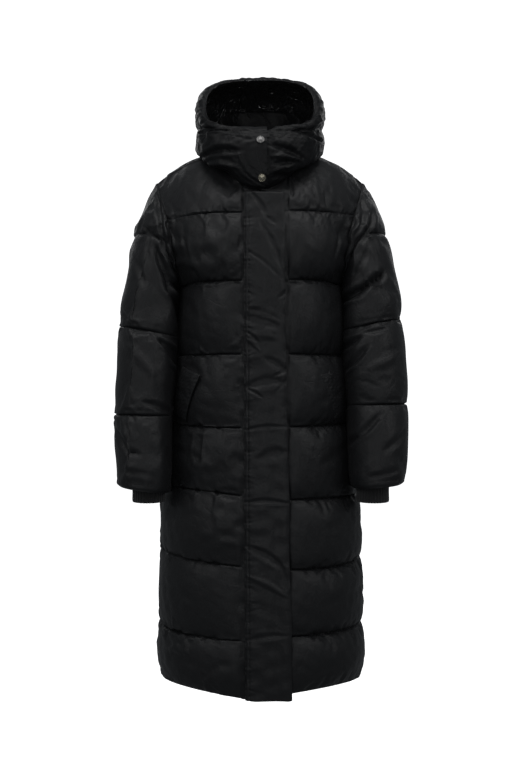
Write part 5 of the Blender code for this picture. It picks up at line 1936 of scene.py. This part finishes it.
@dataclass
class PocketWelt:
    """Slanted padded welt over a pocket's mouth."""

    name: str
    side: int
    rows: int = 64
    cols: int = 34

    def build(self, ward: Wardrobe) -> None:
        """Makes the welt and its edge stitches.

        Args:
            ward: the finishes.
        """
        plain = PLAIN[self.side]
        low = np.linspace(0.0, 1.0, self.rows)[:, None]
        part = np.linspace(0.0, 1.0, self.cols)[None, :]
        (_, z0, a0, y0, b0), (_, z1, a1, y1, b1) = WELT
        z = (z0 + (z1 - z0) * low) * (1 - part) + (y0 + (y1 - y0) * low) * part
        angle = np.radians((a0 + (a1 - a0) * low) * (1 - part) + (b0 + (b1 - b0) * low) * part)
        half = spline(column(BODY, 0), column(BODY, 1), z)
        first = np.arcsin((plain / half) ** (1.0 / ROUNDNESS))
        share = (angle - first) / (math.pi / 2 - first)
        line_z = line_height(np.array([3.0, 4.0, 5.0])[:, None, None], share, self.side, False)
        gap = np.where(z < line_z[1], line_z[1] - line_z[0], line_z[2] - line_z[1])
        row = 4.0 + (z - line_z[1]) / gap

        def surface(r: Array, s: Array) -> Array:
            """Sewing level of the front below."""
            return panel_point(r, s, self.side, False, plain)

        points = surface(row, share)
        normals = grid_normals(surface, row, share, self.side)
        below = SEWN_RISE + swell(row) * body_crown(row, share)
        under = points + normals * (below + WELT_CLEAR)[..., None]
        rim = np.minimum(np.minimum(low, 1 - low) * 9.0, np.minimum(part, 1 - part) * 5.0)
        edge = WELT_WALL * (0.55 + 0.75 * np.clip(rim, 0, 1) ** 0.5)
        fold = Fold(self.side * 0.16, -0.512, self.side * 0.138, -0.53, 0.006, -0.0018)
        edge = edge + fold.field(points[..., 0], points[..., 2])
        edge = edge + 0.0004 * wander(low * 9.0, part * 5.0, 71 + self.side)
        over = under + normals * edge[..., None]
        wall = Wall(self.name + "_shell", self.name, over, under, roll=0.6)
        wall.build([ward["shell"]])
        thread = ThreadWork(self.name + "_stitches")
        thread.add(over[3:-3, 4], normals[3:-3, 4])
        thread.add(over[4, 3:-3], normals[4, 3:-3])
        thread.build(ward["thread"])


@dataclass
class PressStud:
    """Cap of a press stud on the hood's lap: a rim, a groove and a low dome."""

    name: str
    x: float
    z: float
    sink: float
    sides: int = 64
    profile: tuple = (  # radius share, height
        (1.0, 0.0), (1.0, 0.001), (0.97, 0.0016), (0.91, 0.0019), (0.84, 0.0018), (0.79, 0.0013),
        (0.74, 0.0013), (0.69, 0.002), (0.58, 0.0026), (0.44, 0.003), (0.3, 0.0033), (0.16, 0.0035),
        (0.05, 0.0035),
    )

    def build(self, finish: bpy.types.Material) -> None:
        """Makes the stud.

        Args:
            finish: its metal.
        """
        shares = np.linspace(0.0, 1.0, 400)
        path = loop_point(HOOD, shares, 0.0 * shares, HOOD_SQUARE)
        k = int(np.argmin(np.abs(path[:, 2] - self.z)))
        across = np.array([1.0, 0.0, 0.0])
        out = unit(np.cross(unit(path[min(k + 4, 399)] - path[k - 4]), across))
        out = -out if out[1] > 0 else out
        up = unit(np.cross(out, across))
        seat = path[k] + out * (HOOD_LAP_LIFT + SEWN_RISE + 0.0007 - self.sink) + self.x * across
        turn = np.linspace(0.0, 2 * math.pi, self.sides, endpoint=False)[:, None]
        round_it = across * np.cos(turn) + up * np.sin(turn)
        rings = [seat + out * height + SNAP_RADIUS * share * round_it
                 for share, height in self.profile]
        faces = grid_faces(len(rings), self.sides, True) + [list(range(self.sides))[::-1]]
        last = (len(rings) - 1) * self.sides
        faces.append(list(range(last, last + self.sides)))
        piece = make_piece(self.name + "_cap", np.array(rings), faces, [finish])
        face_outward(piece)
        dress(piece, "snap_metal", self.name)


# ---------------------------------------------------------------- studio
@dataclass
class Studio:
    """Pale floor and surround, soft lights and a level camera."""

    eye: tuple = (0.0, -2.35, -0.515)
    lens: float = 50.0
    floor_z: float = -1.42
    middle: tuple = (0.0, 0.0, -0.5)
    boxes: tuple = (  # name, place, size, watts
        ("key_left", (-2.4, -2.5, 1.3), (1.6, 1.6), 20.0),
        ("key_right", (2.4, -2.5, 1.2), (1.6, 1.6), 18.0),
        ("top", (0.0, -0.9, 1.9), (2.2, 1.4), 27.0),
        ("fill", (0.0, -3.3, -0.4), (1.2, 1.0), 7.0),
        ("back_left", (-1.2, 3.0, 1.2), (1.6, 1.6), 13.0),
        ("back_right", (1.2, 3.0, 1.1), (1.6, 1.6), 11.0),
    )

    def surround(self) -> None:
        """Floor disc and a wide round wall, seen by the camera only."""
        turn = np.linspace(0.0, 2 * math.pi, 96, endpoint=False)
        ring = np.stack([np.cos(turn), np.sin(turn), 0.0 * turn], axis=1)
        low = np.array([0.0, 0.0, self.floor_z])
        rise = np.array([0.0, 0.0, 9.0])
        points = np.concatenate([ring * 6.9 + low - rise * 0.1, ring * 6.9 + low + rise])
        walls = grid_faces(2, 96, True) + [list(range(96, 192))]
        ground = [list(range(96))]
        for name, shape, faces in (
            ("floor", ring * 7.0 + low, ground),
            ("surround", points, walls),
        ):
            pale = bpy.data.materials.new(name + "_pale")
            pale.use_nodes = True
            shader = pale.node_tree.nodes["Principled BSDF"]
            shader.inputs["Base Color"].default_value = (0.86, 0.86, 0.86, 1.0)
            shader.inputs["Roughness"].default_value = 0.9
            shader.inputs["Emission Color"].default_value = (1.0, 1.0, 1.0, 1.0)
            shader.inputs["Emission Strength"].default_value = 1.0
            piece = make_piece(name, shape, faces, [pale])
            piece.visible_glossy = piece.visible_diffuse = piece.visible_shadow = False

    def hang(self, lamp: bpy.types.Light, place: tuple, aim: tuple) -> None:
        """Hangs a lamp.

        Args:
            lamp: the lamp.
            place: where it hangs.
            aim: where it points.
        """
        thing = bpy.data.objects.new(lamp.name, lamp)
        thing.location = place
        thing.rotation_euler = (Vector(place) - Vector(aim)).to_track_quat("Z", "Y").to_euler()
        bpy.context.scene.collection.objects.link(thing)

    def build(self) -> None:
        """Sets up camera, lights, floor and surround."""
        scene = bpy.context.scene
        scene.view_settings.view_transform = "Standard"
        scene.view_settings.look = "None"
        camera = bpy.data.objects.new("camera", bpy.data.cameras.new("camera"))
        camera.data.lens = self.lens
        camera.location = self.eye
        camera.rotation_euler = (math.pi / 2, 0.0, 0.0)
        scene.collection.objects.link(camera)
        scene.camera = camera
        scene.world = bpy.data.worlds.new("studio_air")
        scene.world.use_nodes = True
        air = scene.world.node_tree.nodes["Background"].inputs
        air[0].default_value = (0.9, 0.95, 1.0, 1.0)
        air[1].default_value = 0.17
        for name, place, size, watts in self.boxes:
            lamp = bpy.data.lights.new(name, "AREA")
            lamp.shape = "RECTANGLE"
            lamp.size, lamp.size_y = size
            lamp.energy = watts
            self.hang(lamp, place, self.middle)
        lamp = bpy.data.lights.new("hood_light", "SPOT")
        lamp.energy = 60.0
        lamp.spot_size = math.radians(7.0)
        lamp.spot_blend = 1.0
        lamp.shadow_soft_size = 0.25
        self.hang(lamp, (0.0, -3.0, -0.75), (0.0, 0.08, 0.115))
        self.surround()


# ---------------------------------------------------------------- coat
def main() -> None:
    """Builds the coat in order."""
    logging.basicConfig(level=logging.INFO, format="%(name)s: %(message)s")
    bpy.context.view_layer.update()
    ward = {part: finish.build() for part, finish in FINISHES.items()}
    Studio().build()
    body = BodyShell().lay_out()
    sleeves = [
        SleeveShell("sleeve_right", -1, SLEEVE_RIGHT, RIGHT_SLEEVE_FOLDS, 11).lay_out(body),
        SleeveShell("sleeve_left", 1, SLEEVE_LEFT, LEFT_SLEEVE_FOLDS, 13).lay_out(body),
    ]
    neck, cover = body.neckline(), body.cover()
    body.build(ward)
    for sleeve in sleeves:
        sleeve.build(ward)
    RibCuff("cuff_right", -1, SLEEVE_RIGHT).build(ward)
    RibCuff("cuff_left", 1, SLEEVE_LEFT).build(ward)
    HoodShell(neck, cover).build(ward)
    StandCollar(neck).build(ward)
    StormFlap().build(ward)
    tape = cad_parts["front_zip"].data.materials
    tape.clear()
    tape.append(ward["tape"])
    PocketWelt("pocket_welt_right", -1).build(ward)
    PocketWelt("pocket_welt_left", 1).build(ward)
    for snap, metal in zip(SNAPS, (ward["pewter"], ward["antique"])):
        PressStud(*snap).build(metal)


if __name__ == "__main__":
    main()
